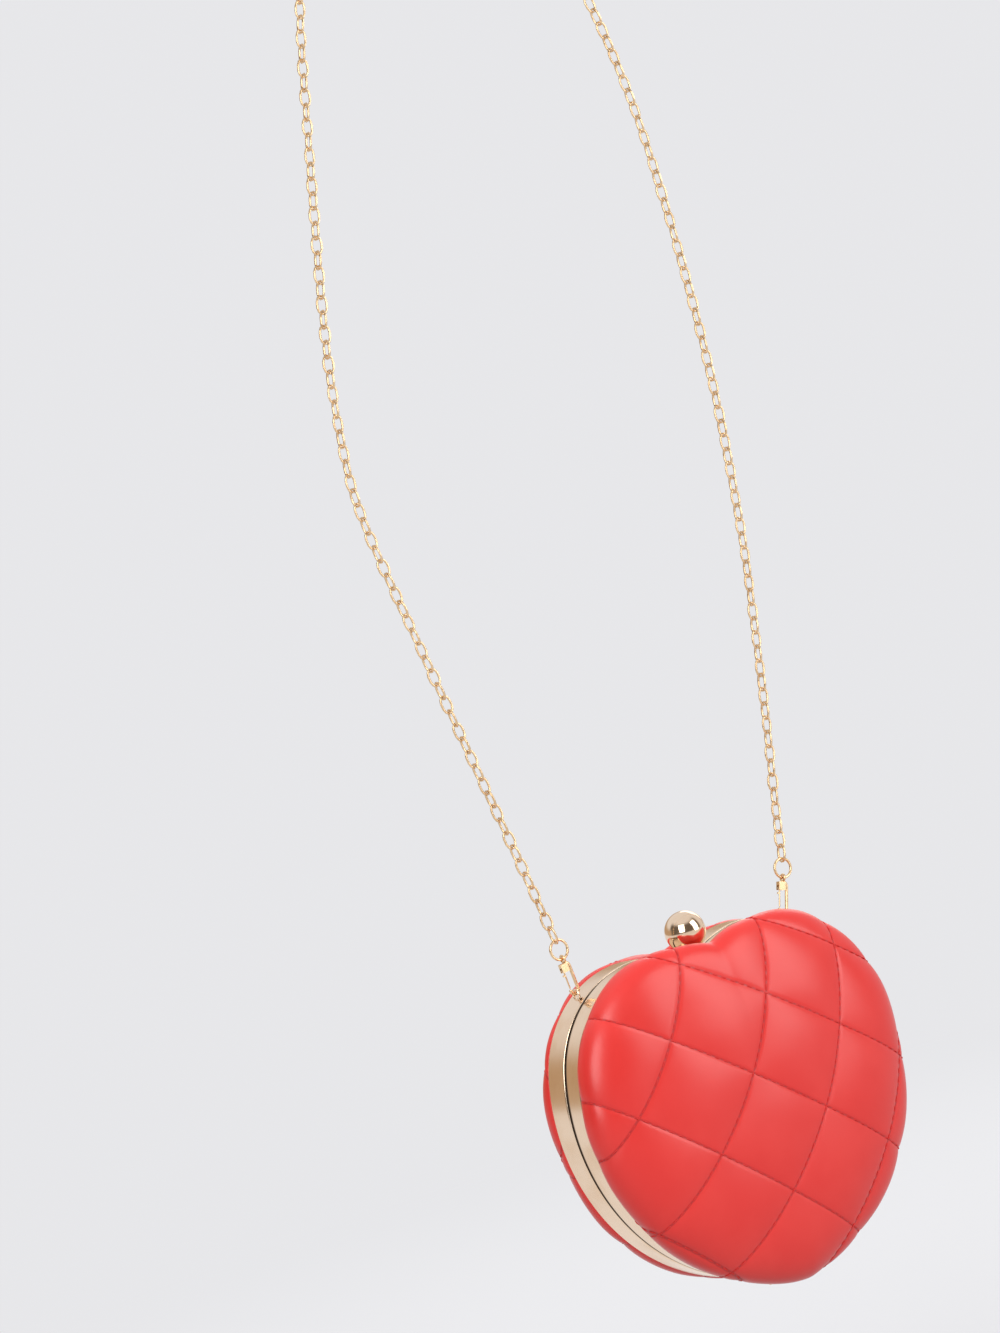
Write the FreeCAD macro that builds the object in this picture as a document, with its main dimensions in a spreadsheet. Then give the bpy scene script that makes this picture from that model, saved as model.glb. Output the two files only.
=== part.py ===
import FreeCAD, Part
import Sketcher
import math
import os

# Heart-shaped purse with a hinged hard case, a ball clasp and a chain strap, in millimetres.
# The purse is drawn with its tip at the drawing's origin: X to the viewer's right, Y to the rear, Z up.
# Each finished node is then moved so that the place where the strap rests on a shoulder is the origin.

doc = FreeCAD.newDocument("heart_purse")
sheet = doc.addObject("Spreadsheet::Sheet", "sizes")
Vector = FreeCAD.Vector


class Size:
    """A number together with the sheet expression that it comes from."""

    def __init__(self, value, text):
        self.value = float(value)
        self.text = text

    def _join(self, other, sign, value):
        return Size(value, "(" + self.text + " " + sign + " " + as_size(other).text + ")")

    def __add__(self, other):
        return self._join(other, "+", self.value + as_size(other).value)

    def __sub__(self, other):
        return self._join(other, "-", self.value - as_size(other).value)

    def __mul__(self, other):
        return self._join(other, "*", self.value * as_size(other).value)

    def __truediv__(self, other):
        return self._join(other, "/", self.value / as_size(other).value)

    def __neg__(self):
        return self * -1

    def root(self):
        """Square root of the size."""
        return Size(math.sqrt(self.value), "sqrt(" + self.text + ")")


def as_size(number):
    """A size as it is, or a plain share as a size."""
    if isinstance(number, Size):
        return number
    return Size(number, repr(float(number)))


def size(name, value):
    """Write a driving dimension to the next row of the sheet and return it."""
    row = str(size.row)
    size.row += 1
    sheet.set("A" + row, name)
    sheet.set("B" + row, repr(value))
    sheet.setAlias("B" + row, name)
    return Size(value, "sizes." + name)


size.row = 1

# Heart outline of the two bands, six tangent arcs
lobe_radius = size("lobe_radius", 51.0)
lobe_offset = size("lobe_offset", 30.0)
lobe_height = size("lobe_height", 102.0)
tip_radius = size("tip_radius", 14.0)
cleft_radius = size("cleft_radius", 5.0)

# Bands
groove = size("groove", 1.2)
front_reach = size("front_reach", 11.4)
rear_reach = size("rear_reach", 13.4)
rim_wall = size("rim_wall", 1.6)
lip_wall = size("lip_wall", 1.0)
lip_engage = size("lip_engage", 0.8)
play = size("play", 0.35)
edge_round = size("edge_round", 0.7)

# Covers, shells and linings
front_depth = size("front_depth", 24.5)
rear_depth = size("rear_depth", 18.5)
crown_height = size("crown_height", 84.0)
cover_wall = size("cover_wall", 4.0)
cover_setback = size("cover_setback", 0.3)
shell_wall = size("shell_wall", 1.8)
lining_wall = size("lining_wall", 0.8)
layer_gap = size("layer_gap", 0.15)
skirt_setback = size("skirt_setback", 2.4)

# Quilting of the covers: height of a puff, unit of the seams' formula and the calm strip next to the band
puff = size("puff", 1.4)
seam_unit = size("seam_unit", 100.0)
calm_strip = size("calm_strip", 6.0)

# Hinge at the tip
hinge_drop = size("hinge_drop", 2.4)
knuckle_radius = size("knuckle_radius", 1.7)
hinge_pin_radius = size("hinge_pin_radius", 0.8)
knuckle_length = size("knuckle_length", 5.0)
leaf_wall = size("leaf_wall", 1.0)
leaf_reach = size("leaf_reach", 8.4)
pin_play = size("pin_play", 0.05)

# Ball clasp
ball_radius = size("ball_radius", 9.3)
ball_rise = size("ball_rise", 13.3)
clasp_setback = size("clasp_setback", 4.8)
pivot_drop = size("pivot_drop", 5.7)
pivot_radius = size("pivot_radius", 0.8)
barrel_radius = size("barrel_radius", 1.9)
lever_width = size("lever_width", 6.0)
lever_wall = size("lever_wall", 1.6)
nose_reach = size("nose_reach", 4.2)
tail_reach = size("tail_reach", 9.6)
boss_radius = size("boss_radius", 2.4)
boss_height = size("boss_height", 3.4)
stem_radius = size("stem_radius", 1.6)
stem_seat = size("stem_seat", 2.0)
stem_travel = size("stem_travel", 1.8)
collar_radius = size("collar_radius", 4.7)
collar_wall = size("collar_wall", 1.1)
collar_rise = size("collar_rise", 2.0)
bracket_wall = size("bracket_wall", 1.2)
bracket_back = size("bracket_back", 1.2)
bracket_drop = size("bracket_drop", 3.0)
catch_front = size("catch_front", 1.0)
catch_reach = size("catch_reach", 4.0)
catch_ramp = size("catch_ramp", 1.2)
notch_play = size("notch_play", 0.6)
spring_wall = size("spring_wall", 0.4)
spring_width = size("spring_width", 3.0)
spring_leg = size("spring_leg", 1.0)

# Ears on the rear band
ear_depth = size("ear_depth", 2.8)
ear_radius = size("ear_radius", 2.2)
ear_wire = size("ear_wire", 0.6)
ear_rise = size("ear_rise", 3.2)
foot_radius = size("foot_radius", 1.3)

# Spring hooks
hook_wire = size("hook_wire", 0.75)
hook_bend = size("hook_bend", 2.0)
hook_spine = size("hook_spine", 10.5)
hook_neck = size("hook_neck", 1.8)
eye_radius = size("eye_radius", 1.5)
eye_wire = size("eye_wire", 0.55)
cheek_wall = size("cheek_wall", 0.5)
head_width = size("head_width", 3.5)
gate_wall = size("gate_wall", 0.8)
gate_eye = size("gate_eye", 0.9)
gate_bar = size("gate_bar", 0.35)
thumb_reach = size("thumb_reach", 1.1)
rivet_radius = size("rivet_radius", 0.4)
slack = size("slack", 0.3)

# Jump rings and chain
ring_radius = size("ring_radius", 4.4)
ring_wire = size("ring_wire", 0.6)
link_length = size("link_length", 9.1)
link_width = size("link_width", 5.8)
link_wire = size("link_wire", 0.55)

# Place where the strap rests on a shoulder
shoulder_across = size("shoulder_across", 26.0)
shoulder_height = size("shoulder_height", 672.0)

# Amount by which a cut passes the face that it opens
overrun = size("overrun", 1.0)

doc.recompute()

# Shares and angles, which have no length
tip_half_share = 0.108
front_bulge_share = 0.045
rear_bulge_share = 0.015
roundness_share = 0.82
lobe_merge_share = 0.6
level_count = 9
quilt_rows = 28
quilt_columns = {"side": 48, "lobe": 30, "cleft": 4, "tip": 2}
quilt_crown_angle = 89.0
puff_power = 2.8
puff_rest_share = 0.55
falling_seam_shares = (2.07, -1.63, -2.05, -0.01, -0.13, -0.31)
rising_seam_shares = (2.26, 1.84, -1.51, 0.29, 0.50, 0.44)
crown_angle = 87.0
link_sides = 10
ear_share = 0.54
left_lean = -5.0
right_lean = 20.0

strap_depth = front_reach / 2.0
ring_inset = rim_wall + play + lip_wall
half_groove = groove / 2.0
cleft_floor = lobe_height + ((lobe_radius + cleft_radius) * (lobe_radius + cleft_radius)
                             - lobe_offset * lobe_offset).root() - cleft_radius
cleft_ceiling = cleft_floor - ring_inset
pivot_height = cleft_ceiling - pivot_drop
ball_height = cleft_floor + ball_rise
notch_half = lever_width / 2.0 + play + bracket_wall + notch_play
slot_half = stem_radius + play
slot_front = -(clasp_setback + slot_half)
cleft_centre = cleft_floor + cleft_radius
web_bottom = cleft_ceiling - bracket_wall
bar_top = pivot_height + lever_wall / 2.0
bar_bottom = pivot_height - lever_wall / 2.0
spring_low = bar_top + layer_gap
spring_tall = web_bottom - spring_low
spring_back = clasp_setback + boss_radius + play + spring_leg
bracket_front = spring_back + spring_tall / 2.0
notch_front = -(bracket_front + notch_play)
notch_length = bracket_front + notch_play - half_groove
hinge_half = knuckle_length * 1.5 + play
nothing = groove * 0.0
finished = []


def vector(across, depth, height):
    """Vector of three sizes."""
    return Vector(as_size(across).value, as_size(depth).value, as_size(height).value)


def bind(item, prop, amount):
    """Tie a property to the sheet."""
    item.setExpression(prop, as_size(amount).text)


def place(item, across, depth, height, turn=None):
    """Put an object at three sizes, turned by an optional rotation."""
    item.Placement = FreeCAD.Placement(vector(across, depth, height), turn or FreeCAD.Rotation())
    bind(item, ".Placement.Base.x", across)
    bind(item, ".Placement.Base.y", depth)
    bind(item, ".Placement.Base.z", height)


def finish(item, name, across=0.0, depth=0.0, height=0.0, turn=None):
    """Name a finished node and note it for export, with its own place in the purse."""
    item.Label = name
    spot = (as_size(across) - shoulder_across, as_size(depth) - strap_depth, as_size(height) - shoulder_height)
    finished.append((name, item, spot, turn))
    return item


class Heart:
    """Outline of six tangent arcs: cleft, two lobes, two sides and tip."""

    def __init__(self, lobe, offset, height, tip, tip_centre, cleft):
        self.lobe = lobe
        self.offset = offset
        self.height = height
        self.tip = tip
        self.tip_centre = tip_centre
        self.cleft = cleft

    def inset(self, wall):
        """Outline a wall's width further in."""
        return Heart(self.lobe - wall, self.offset, self.height, self.tip - wall, self.tip_centre,
                     self.cleft + wall)

    def merged(self, share):
        """Outline whose lobes have moved together, so that its cleft is shallower."""
        move = self.offset * share
        return Heart(self.lobe + move, self.offset - move, self.height - move, self.tip, self.tip_centre,
                     self.cleft)

    def scaled(self, share, centre):
        """Outline scaled about a height on its own axis."""
        return Heart(self.lobe * share, self.offset * share, centre + (self.height - centre) * share,
                     self.tip * share, centre + (self.tip_centre - centre) * share, self.cleft * share)

    def arcs(self):
        """Centre, radius and two angles of each arc, each turning anticlockwise.

        A side arc leaves the tip arc where that has turned by its half angle, and touches the lobe from
        outside, which gives the side's radius.
        """
        lobe, tip, cleft = self.lobe.value, self.tip.value, self.cleft.value
        offset, height, low = self.offset.value, self.height.value, self.tip_centre.value
        sine = tip_half_share
        cosine = math.sqrt(1.0 - sine * sine)
        more = tip - lobe
        reach = (offset ** 2 + (height - low) ** 2 - more ** 2) / 2.0
        reach /= more - offset * sine + (height - low) * cosine
        side = reach + tip
        centre = Vector(-reach * sine, low + reach * cosine, 0)
        top = math.atan2(height - centre.y, offset - centre.x)
        low_angle = -math.acos(sine)
        rise = math.sqrt((lobe + cleft) ** 2 - offset ** 2)
        dip = math.atan2(rise, -offset)
        turn = math.pi
        return [
            (centre, side, low_angle, top),
            (Vector(offset, height, 0), lobe, top, dip),
            (Vector(0, height + rise, 0), cleft, -dip, dip - turn),
            (Vector(-offset, height, 0), lobe, turn - dip, turn - top),
            (Vector(-centre.x, centre.y, 0), side, turn - top, turn - low_angle),
            (Vector(0, low, 0), tip, -turn - low_angle, low_angle),
        ]


band = Heart(lobe_radius, lobe_offset, lobe_height, tip_radius, tip_radius, cleft_radius)


def base_plane(body, role):
    """One of the body's own origin planes."""
    return [item for item in body.Origin.OriginFeatures if item.Role == role][0]


def new_sketch(body, name, role, station):
    """Sketch on a plane of the body, moved along the plane's normal."""
    sketch = body.newObject("Sketcher::SketchObject", name)
    sketch.AttachmentSupport = [(base_plane(body, role), "")]
    sketch.MapMode = "FlatFace"
    sketch.AttachmentOffset = FreeCAD.Placement(Vector(0, 0, as_size(station).value), FreeCAD.Rotation())
    bind(sketch, "AttachmentOffset.Base.z", station)
    return sketch


def add_heart(sketch, heart):
    """Draw one constrained heart outline in a sketch."""
    first = sketch.GeometryCount
    curves = [Part.ArcOfCircle(Part.Circle(centre, Vector(0, 0, 1), radius), start, end)
              for centre, radius, start, end in heart.arcs()]
    sketch.addGeometry(curves, False)
    side, lobe, cleft, far_lobe, far_side, tip = range(first, first + 6)
    rules = [
        Sketcher.Constraint("Tangent", side, 2, lobe, 1),
        Sketcher.Constraint("Tangent", lobe, 2, cleft, 2),
        Sketcher.Constraint("Tangent", cleft, 1, far_lobe, 1),
        Sketcher.Constraint("Tangent", far_lobe, 2, far_side, 1),
        Sketcher.Constraint("Tangent", far_side, 2, tip, 1),
        Sketcher.Constraint("Tangent", tip, 2, side, 1),
        Sketcher.Constraint("Equal", lobe, far_lobe),
        Sketcher.Constraint("Equal", side, far_side),
        Sketcher.Constraint("Symmetric", lobe, 3, far_lobe, 3, -2),
        Sketcher.Constraint("PointOnObject", tip, 3, -2),
    ]
    sketch.addConstraint(rules)
    driven = [
        (Sketcher.Constraint("Radius", lobe, heart.lobe.value), heart.lobe),
        (Sketcher.Constraint("DistanceX", tip, 3, tip, 2, heart.tip.value * tip_half_share),
         heart.tip * tip_half_share),
        (Sketcher.Constraint("Radius", tip, heart.tip.value), heart.tip),
        (Sketcher.Constraint("Radius", cleft, heart.cleft.value), heart.cleft),
        (Sketcher.Constraint("DistanceX", -1, 1, lobe, 3, heart.offset.value), heart.offset),
        (Sketcher.Constraint("DistanceY", -1, 1, lobe, 3, heart.height.value), heart.height),
        (Sketcher.Constraint("DistanceY", -1, 1, tip, 3, heart.tip_centre.value), heart.tip_centre),
    ]
    for rule, amount in driven:
        index = sketch.addConstraint(rule)
        bind(sketch, "Constraints[" + str(index) + "]", amount)


def add_rectangle(sketch, left, low, width, height):
    """Draw one constrained rectangle in a sketch, from its lower left corner."""
    first = sketch.GeometryCount
    x0, y0 = left.value, low.value
    x1, y1 = x0 + width.value, y0 + height.value
    corners = [Vector(x0, y0, 0), Vector(x1, y0, 0), Vector(x1, y1, 0), Vector(x0, y1, 0)]
    lines = [Part.LineSegment(corners[number - 1], corners[number]) for number in range(4)]
    sketch.addGeometry(lines, False)
    rules = [Sketcher.Constraint("Coincident", first + number, 2, first + (number + 1) % 4, 1)
             for number in range(4)]
    rules += [Sketcher.Constraint("Vertical", first), Sketcher.Constraint("Vertical", first + 2),
              Sketcher.Constraint("Horizontal", first + 1), Sketcher.Constraint("Horizontal", first + 3)]
    sketch.addConstraint(rules)
    driven = [
        (Sketcher.Constraint("DistanceX", -1, 1, first + 1, 1, x0), left),
        (Sketcher.Constraint("DistanceY", -1, 1, first + 1, 1, y0), low),
        (Sketcher.Constraint("DistanceX", first + 1, 1, first + 1, 2, width.value), width),
        (Sketcher.Constraint("DistanceY", first + 2, 1, first + 2, 2, height.value), height),
    ]
    for rule, amount in driven:
        index = sketch.addConstraint(rule)
        bind(sketch, "Constraints[" + str(index) + "]", amount)


def heart_sketch(body, name, station, *hearts):
    """Sketch of one or two heart outlines across the purse, so far in front of the parting plane."""
    sketch = new_sketch(body, name, "XZ_Plane", station)
    for heart in hearts:
        add_heart(sketch, heart)
    return sketch


def pad(body, name, sketch, length, backwards=False):
    """Pad a sketch by a size."""
    feature = body.newObject("PartDesign::Pad", name)
    feature.Profile = sketch
    feature.Length = as_size(length).value
    bind(feature, "Length", length)
    feature.Reversed = backwards
    return feature


def pocket(body, name, sketch, length, backwards=False):
    """Cut a sketch by a size."""
    feature = body.newObject("PartDesign::Pocket", name)
    feature.Profile = sketch
    feature.Length = as_size(length).value
    bind(feature, "Length", length)
    feature.Reversed = backwards
    return feature


def round_edges(body, name, base, radius, wanted):
    """Fillet the edges of a feature that a test picks."""
    doc.recompute()
    edges = ["Edge" + str(number + 1) for number, edge in enumerate(base.Shape.Edges) if wanted(edge)]
    feature = body.newObject("PartDesign::Fillet", name)
    feature.Base = (base, edges)
    feature.Radius = as_size(radius).value
    bind(feature, "Radius", radius)
    return feature


def on_outer_edge(depth):
    """Test for the arcs of the band's outer outline at one depth."""
    radii = [radius for centre, radius, start, end in band.arcs()]

    def wanted(edge):
        if not hasattr(edge.Curve, "Radius"):
            return False
        level = all(abs(vertex.Point.y - depth) < play.value / 10.0 for vertex in edge.Vertexes)
        return level and any(abs(edge.Curve.Radius - radius) < play.value / 10.0 for radius in radii)

    return wanted


def new_body(name):
    """Body for one node."""
    return doc.addObject("PartDesign::Body", name)


def frame_ring(name, forward):
    """Band of one half: a heart ring between the groove and the cover."""
    body = new_body(name)
    side = 1.0 if forward else -1.0
    profile = heart_sketch(body, name + "_profile", half_groove * side, band, band.inset(ring_inset))
    reach = front_reach if forward else rear_reach
    pad(body, name + "_ring", profile, reach - half_groove, not forward)
    if forward:
        inner = heart_sketch(body, name + "_rebate_profile", half_groove, band.inset(rim_wall))
        last = pocket(body, name + "_rebate", inner, lip_engage + play, True)
    else:
        lip = heart_sketch(body, name + "_lip_profile", -half_groove, band.inset(rim_wall + play),
                           band.inset(ring_inset))
        last = pad(body, name + "_lip", lip, groove + lip_engage)
    for word, station in (("groove", half_groove), ("cover", reach)):
        test = on_outer_edge(-side * station.value)
        last = round_edges(body, name + "_" + word + "_round", last, edge_round, test)
    if forward:
        slot = new_sketch(body, name + "_slot_profile", "XY_Plane", cleft_floor + overrun)
        add_rectangle(slot, -slot_half, slot_front, slot_half * 2.0, slot_half * 2.0 + stem_travel)
        pocket(body, name + "_slot", slot, ring_inset + overrun * 2.0)
    doc.recompute()
    return finish(body, name)


def bowl_profile(angle, last_angle, bulge_share):
    """Scale of the outline and share of the depth, at a share of the angle up a puffed half's section."""
    start = -math.acos((1.0 / (1.0 + bulge_share)) ** (1.0 / roundness_share))
    low = math.sin(-start) ** roundness_share
    turned = start + (math.radians(last_angle) - start) * angle
    climb = math.copysign(abs(math.sin(turned)) ** roundness_share, math.sin(turned))
    return math.cos(turned) ** roundness_share * (1.0 + bulge_share), (climb + low) / (1.0 + low)


def bowl_levels(count, last_angle, forward):
    """Sections of a puffed half, spaced evenly along its surface, each with its distance from the band."""
    bulge_share = front_bulge_share if forward else rear_bulge_share
    depth = (front_depth if forward else rear_depth).value
    steps = 400
    points = [bowl_profile(number / steps, last_angle, bulge_share) for number in range(steps + 1)]
    half_width = (lobe_offset + lobe_radius).value
    lengths = [0.0]
    for before, after in zip(points, points[1:]):
        step = math.hypot((after[0] - before[0]) * half_width, (after[1] - before[1]) * depth)
        lengths.append(lengths[-1] + step)
    levels = []
    for number in range(count):
        wanted = lengths[-1] * number / (count - 1)
        nearest = min(range(steps + 1), key=lambda index: abs(lengths[index] - wanted))
        levels.append((*points[nearest], lengths[nearest]))
    return levels


def loft(body, kind, name, wall, depth, forward):
    """Add or cut a puffed half whose outline is set in by a wall."""
    outline = band.inset(wall)
    reach = front_reach if forward else rear_reach
    sections = []
    for number, (scale, share, run) in enumerate(bowl_levels(level_count, crown_angle, forward)):
        shape = outline.merged(lobe_merge_share * share).scaled(scale, crown_height)
        station = (reach + (depth - wall) * share) * (1.0 if forward else -1.0)
        sections.append(heart_sketch(body, name + "_" + str(number), station, shape))
    feature = body.newObject(kind, name)
    feature.Profile = sections[0]
    feature.Sections = sections[1:]
    return feature


def bowl(name, outer_wall, inner_wall, depth, forward, skirt_outer):
    """One plain layer of a puffed half, with a skirt inside the band."""
    body = new_body(name)
    side = 1.0 if forward else -1.0
    loft(body, "PartDesign::AdditiveLoft", name + "_outside", outer_wall, depth, forward)
    doc.recompute()
    loft(body, "PartDesign::SubtractiveLoft", name + "_inside", inner_wall, depth, forward)
    profile = heart_sketch(body, name + "_skirt_profile", skirt_setback * side,
                           band.inset(skirt_outer), band.inset(inner_wall))
    reach = front_reach if forward else rear_reach
    pad(body, name + "_skirt", profile, reach - skirt_setback, not forward)
    notch = new_sketch(body, name + "_notch_profile", "XY_Plane", cleft_floor)
    add_rectangle(notch, -notch_half, notch_front if forward else half_groove, notch_half * 2.0,
                  notch_length if forward else catch_front + catch_reach + notch_play)
    pocket(body, name + "_notch", notch, cleft_floor - pivot_height)
    doc.recompute()
    return finish(body, name)


def heart_points(heart):
    """Points round a heart, the same number on each of its arcs wherever it lies on the puffed half."""
    words = ("side", "lobe", "cleft", "lobe", "side", "tip")
    points = []
    for word, (centre, radius, start, end) in zip(words, heart.arcs()):
        if word == "cleft":
            start, end = end, start
        count = quilt_columns[word]
        for step in range(count):
            angle = start + (end - start) * step / count
            points.append((centre.x + radius * math.cos(angle), centre.y + radius * math.sin(angle)))
    return points


def puff_height(across, up):
    """Share of a puff's height: none on a seam, where a family's level is whole, and one amid four seams."""
    height = 1.0
    for shares in (falling_seam_shares, rising_seam_shares):
        terms = (1.0, across, up, across * across, across * up, up * up)
        level = sum(share * term for share, term in zip(shares, terms))
        height *= 1.0 - (1.0 - 2.0 * abs(level - round(level))) ** puff_power
    return height


def quilt_grid(depth, forward):
    """Rows of points on a cover's quilted outside, from the band to the crown."""
    side = -1.0 if forward else 1.0
    outline = band.inset(cover_setback)
    sections = bowl_levels(quilt_rows, quilt_crown_angle, forward)
    widest = max(scale for scale, share, run in sections)
    reach = front_reach if forward else rear_reach
    plain, heights = [], []
    under = True
    for scale, share, run in sections:
        merged = outline.merged(lobe_merge_share * share)
        station = side * (reach + (depth - cover_setback) * share).value
        plain.append([Vector(x, station, z) for x, z in heart_points(merged.scaled(scale, crown_height))])
        under = under and scale < widest
        spread = 2.0 * widest - scale if under else scale
        calm = min(run / calm_strip.value, 1.0)
        calm = calm * calm * (3.0 - 2.0 * calm)
        heights.append([])
        for x, z in heart_points(merged.scaled(spread, crown_height)):
            across = -side * x / seam_unit.value
            up = (z - crown_height.value) / seam_unit.value
            heights[-1].append(calm * puff.value * (puff_height(across, up) - puff_rest_share))
    grid = [plain[0]]
    for number in range(1, len(plain) - 1):
        row = []
        for column, point in enumerate(plain[number]):
            around = plain[number][(column + 1) % len(plain[number])] - plain[number][column - 1]
            along = plain[number + 1][column] - plain[number - 1][column]
            normal = around.cross(along).normalize() * -side
            row.append(point + normal * heights[number][column])
        grid.append(row)
    top = Vector(0, side * sum(heights[-1]) / len(heights[-1]), 0)
    grid.append([point + top for point in plain[-1]])
    return grid


def smooth_skin(grid):
    """Smooth surface that rows of points pull into shape, each row closing on itself."""
    degree = 3
    row_mults = [degree + 1] + [1] * (len(grid) - degree - 1) + [degree + 1]
    column_mults = [1] * (len(grid[0]) + 1)
    surface = Part.BSplineSurface()
    surface.buildFromPolesMultsKnots(grid, row_mults, column_mults, list(range(len(row_mults))),
                                     list(range(len(column_mults))), False, True, degree, degree)
    return surface.toShape()


def quilted_half(word, depth, forward):
    """Solid within a quilted skin, closed by flat ends at the band and at the crown."""
    skin = smooth_skin(quilt_grid(depth, forward))
    ends = [Part.Face(Part.Wire([edge])) for edge in skin.Edges if edge.isClosed()]
    shell = Part.Shell([skin] + ends)
    shell.sewShape()
    item = doc.addObject("Part::Feature", word + "_quilt")
    item.Shape = Part.Solid(shell)
    return item


def quilted_cover(word, inner_wall, depth, forward):
    """Padded cover of one half, quilted outside and plain inside."""
    core = new_body(word + "_cover_core")
    loft(core, "PartDesign::AdditiveLoft", word + "_cover_inside", inner_wall, depth, forward)
    doc.recompute()
    finish(cut(word + "_cover", quilted_half(word, depth, forward), core), word + "_cover")


def soft_half(word, depth, forward):
    """Cover, shell and lining of one half."""
    cover_inner = cover_setback + cover_wall
    shell_outer = cover_inner + layer_gap
    shell_inner = shell_outer + shell_wall
    lining_outer = shell_inner + layer_gap
    lining_inner = lining_outer + lining_wall
    quilted_cover(word, cover_inner, depth, forward)
    bowl(word + "_shell", shell_outer, shell_inner, depth, forward, ring_inset + layer_gap)
    bowl(word + "_lining", lining_outer, lining_inner, depth, forward, lining_outer)


turns = {
    "X": FreeCAD.Rotation(Vector(0, 1, 0), 90),
    "-X": FreeCAD.Rotation(Vector(0, 1, 0), -90),
    "Y": FreeCAD.Rotation(Vector(1, 0, 0), -90),
    "-Y": FreeCAD.Rotation(Vector(1, 0, 0), 90),
    "Z": FreeCAD.Rotation(),
}


def cylinder(name, radius, length, across, depth, height, axis="Z"):
    """Cylinder from the centre of its first end along an axis."""
    item = doc.addObject("Part::Cylinder", name)
    bind(item, "Radius", radius)
    bind(item, "Height", length)
    place(item, across, depth, height, turns[axis] if isinstance(axis, str) else axis)
    return item


def rod(name, radius, length, axis, across, depth, height):
    """Node that is one plain rod."""
    item = cylinder(name + "_rod", radius, length, nothing, nothing, nothing, axis)
    finish(item, name, across, depth, height, turns[axis])


def torus(name, radius, wire, across, depth, height, axis, sweep=360.0):
    """Ring of wire about an axis, or part of one."""
    item = doc.addObject("Part::Torus", name)
    bind(item, "Radius1", radius)
    bind(item, "Radius2", wire)
    item.Angle3 = sweep
    place(item, across, depth, height, turns[axis])
    return item


def ball(name, radius, across, depth, height):
    """Sphere about its centre."""
    item = doc.addObject("Part::Sphere", name)
    bind(item, "Radius", radius)
    place(item, across, depth, height)
    return item


def block(name, width, length, tall, across, depth, height):
    """Block centred across, from its front lower edge."""
    item = doc.addObject("Part::Box", name)
    bind(item, "Length", width)
    bind(item, "Width", length)
    bind(item, "Height", tall)
    place(item, as_size(across) - as_size(width) / 2.0, depth, height)
    return item


def wedge(name, width, length, low, high, end_low, end_high, depth):
    """Block centred across that runs rearwards from one span of heights to another."""
    item = doc.addObject("Part::Wedge", name)
    half = as_size(width) / 2.0
    limits = {"Xmin": -half, "Xmax": half, "X2min": -half, "X2max": half, "Ymin": half * 0.0, "Ymax": length,
              "Zmin": low, "Zmax": high, "Z2min": end_low, "Z2max": end_high}
    for prop, amount in limits.items():
        setattr(item, prop, as_size(amount).value)
        bind(item, prop, amount)
    place(item, half * 0.0, depth, half * 0.0)
    return item


def fuse(name, *items):
    """One solid of several."""
    item = doc.addObject("Part::MultiFuse", name)
    item.Shapes = list(items)
    return item


def cut(name, base, *tools):
    """A solid less the tools."""
    for number, tool in enumerate(tools):
        item = doc.addObject("Part::Cut", name + "_cut_" + str(number))
        item.Base = base
        item.Tool = tool
        base = item
    return base


def shared(name, first, second):
    """What two solids share."""
    item = doc.addObject("Part::MultiCommon", name)
    item.Shapes = [first, second]
    return item


frame_ring("front_frame", True)
frame_ring("rear_frame", False)
soft_half("front", front_depth, True)
soft_half("rear", rear_depth, False)


def heart_prism(name, heart):
    """Solid of a heart outline through both bands, to shape what seats on them."""
    sketch = doc.addObject("Sketcher::SketchObject", name + "_profile")
    add_heart(sketch, heart)
    place(sketch, nothing, rear_reach + overrun, nothing, turns["-Y"])
    item = doc.addObject("Part::Extrusion", name)
    item.Base = sketch
    item.DirMode = "Normal"
    item.Solid = True
    bind(item, "LengthFwd", rear_reach + front_reach + overrun * 2.0)
    return item


outside_of_bands = heart_prism("outside_of_bands", band)
inside_of_bands = heart_prism("inside_of_bands", band.inset(ring_inset))
leaf_outline = heart_prism("leaf_outline", band.inset(-leaf_wall))


def hinge_leaf(word, forward):
    """Hinge leaf under the tip of one band, with its knuckles on the hinge's axis."""
    name = "hinge_" + word + "_leaf"
    start = knuckle_radius + play
    length = leaf_reach - start
    near = -leaf_reach if forward else start
    saddle_box = block(name + "_box", hinge_half * 2.0, length, hinge_drop * 2.0, nothing, near, -hinge_drop)
    pieces = [shared(name + "_saddle", saddle_box, leaf_outline)]
    step = knuckle_length + play
    for number, across in enumerate([-step, step] if forward else [nothing]):
        tag = name + "_" + str(number)
        web_depth = -(start + leaf_wall) if forward else nothing
        pieces.append(block(tag + "_web", knuckle_length, start + leaf_wall, hinge_drop + leaf_wall, across,
                            web_depth, -hinge_drop))
        pieces.append(cylinder(tag + "_knuckle", knuckle_radius, knuckle_length, across - knuckle_length / 2.0,
                               nothing, -hinge_drop, "X"))
    bore_radius = hinge_pin_radius + pin_play if forward else hinge_pin_radius
    bore = cylinder(name + "_bore", bore_radius, hinge_half * 2.0 + overrun * 2.0,
                    -hinge_half - overrun, nothing, -hinge_drop, "X")
    finish(cut(name, fuse(name + "_whole", *pieces), outside_of_bands, bore), name)


hinge_leaf("front", True)
hinge_leaf("rear", False)
rod("hinge_pin", hinge_pin_radius, hinge_half * 2.0, "X", -hinge_half, nothing, -hinge_drop)


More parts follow.
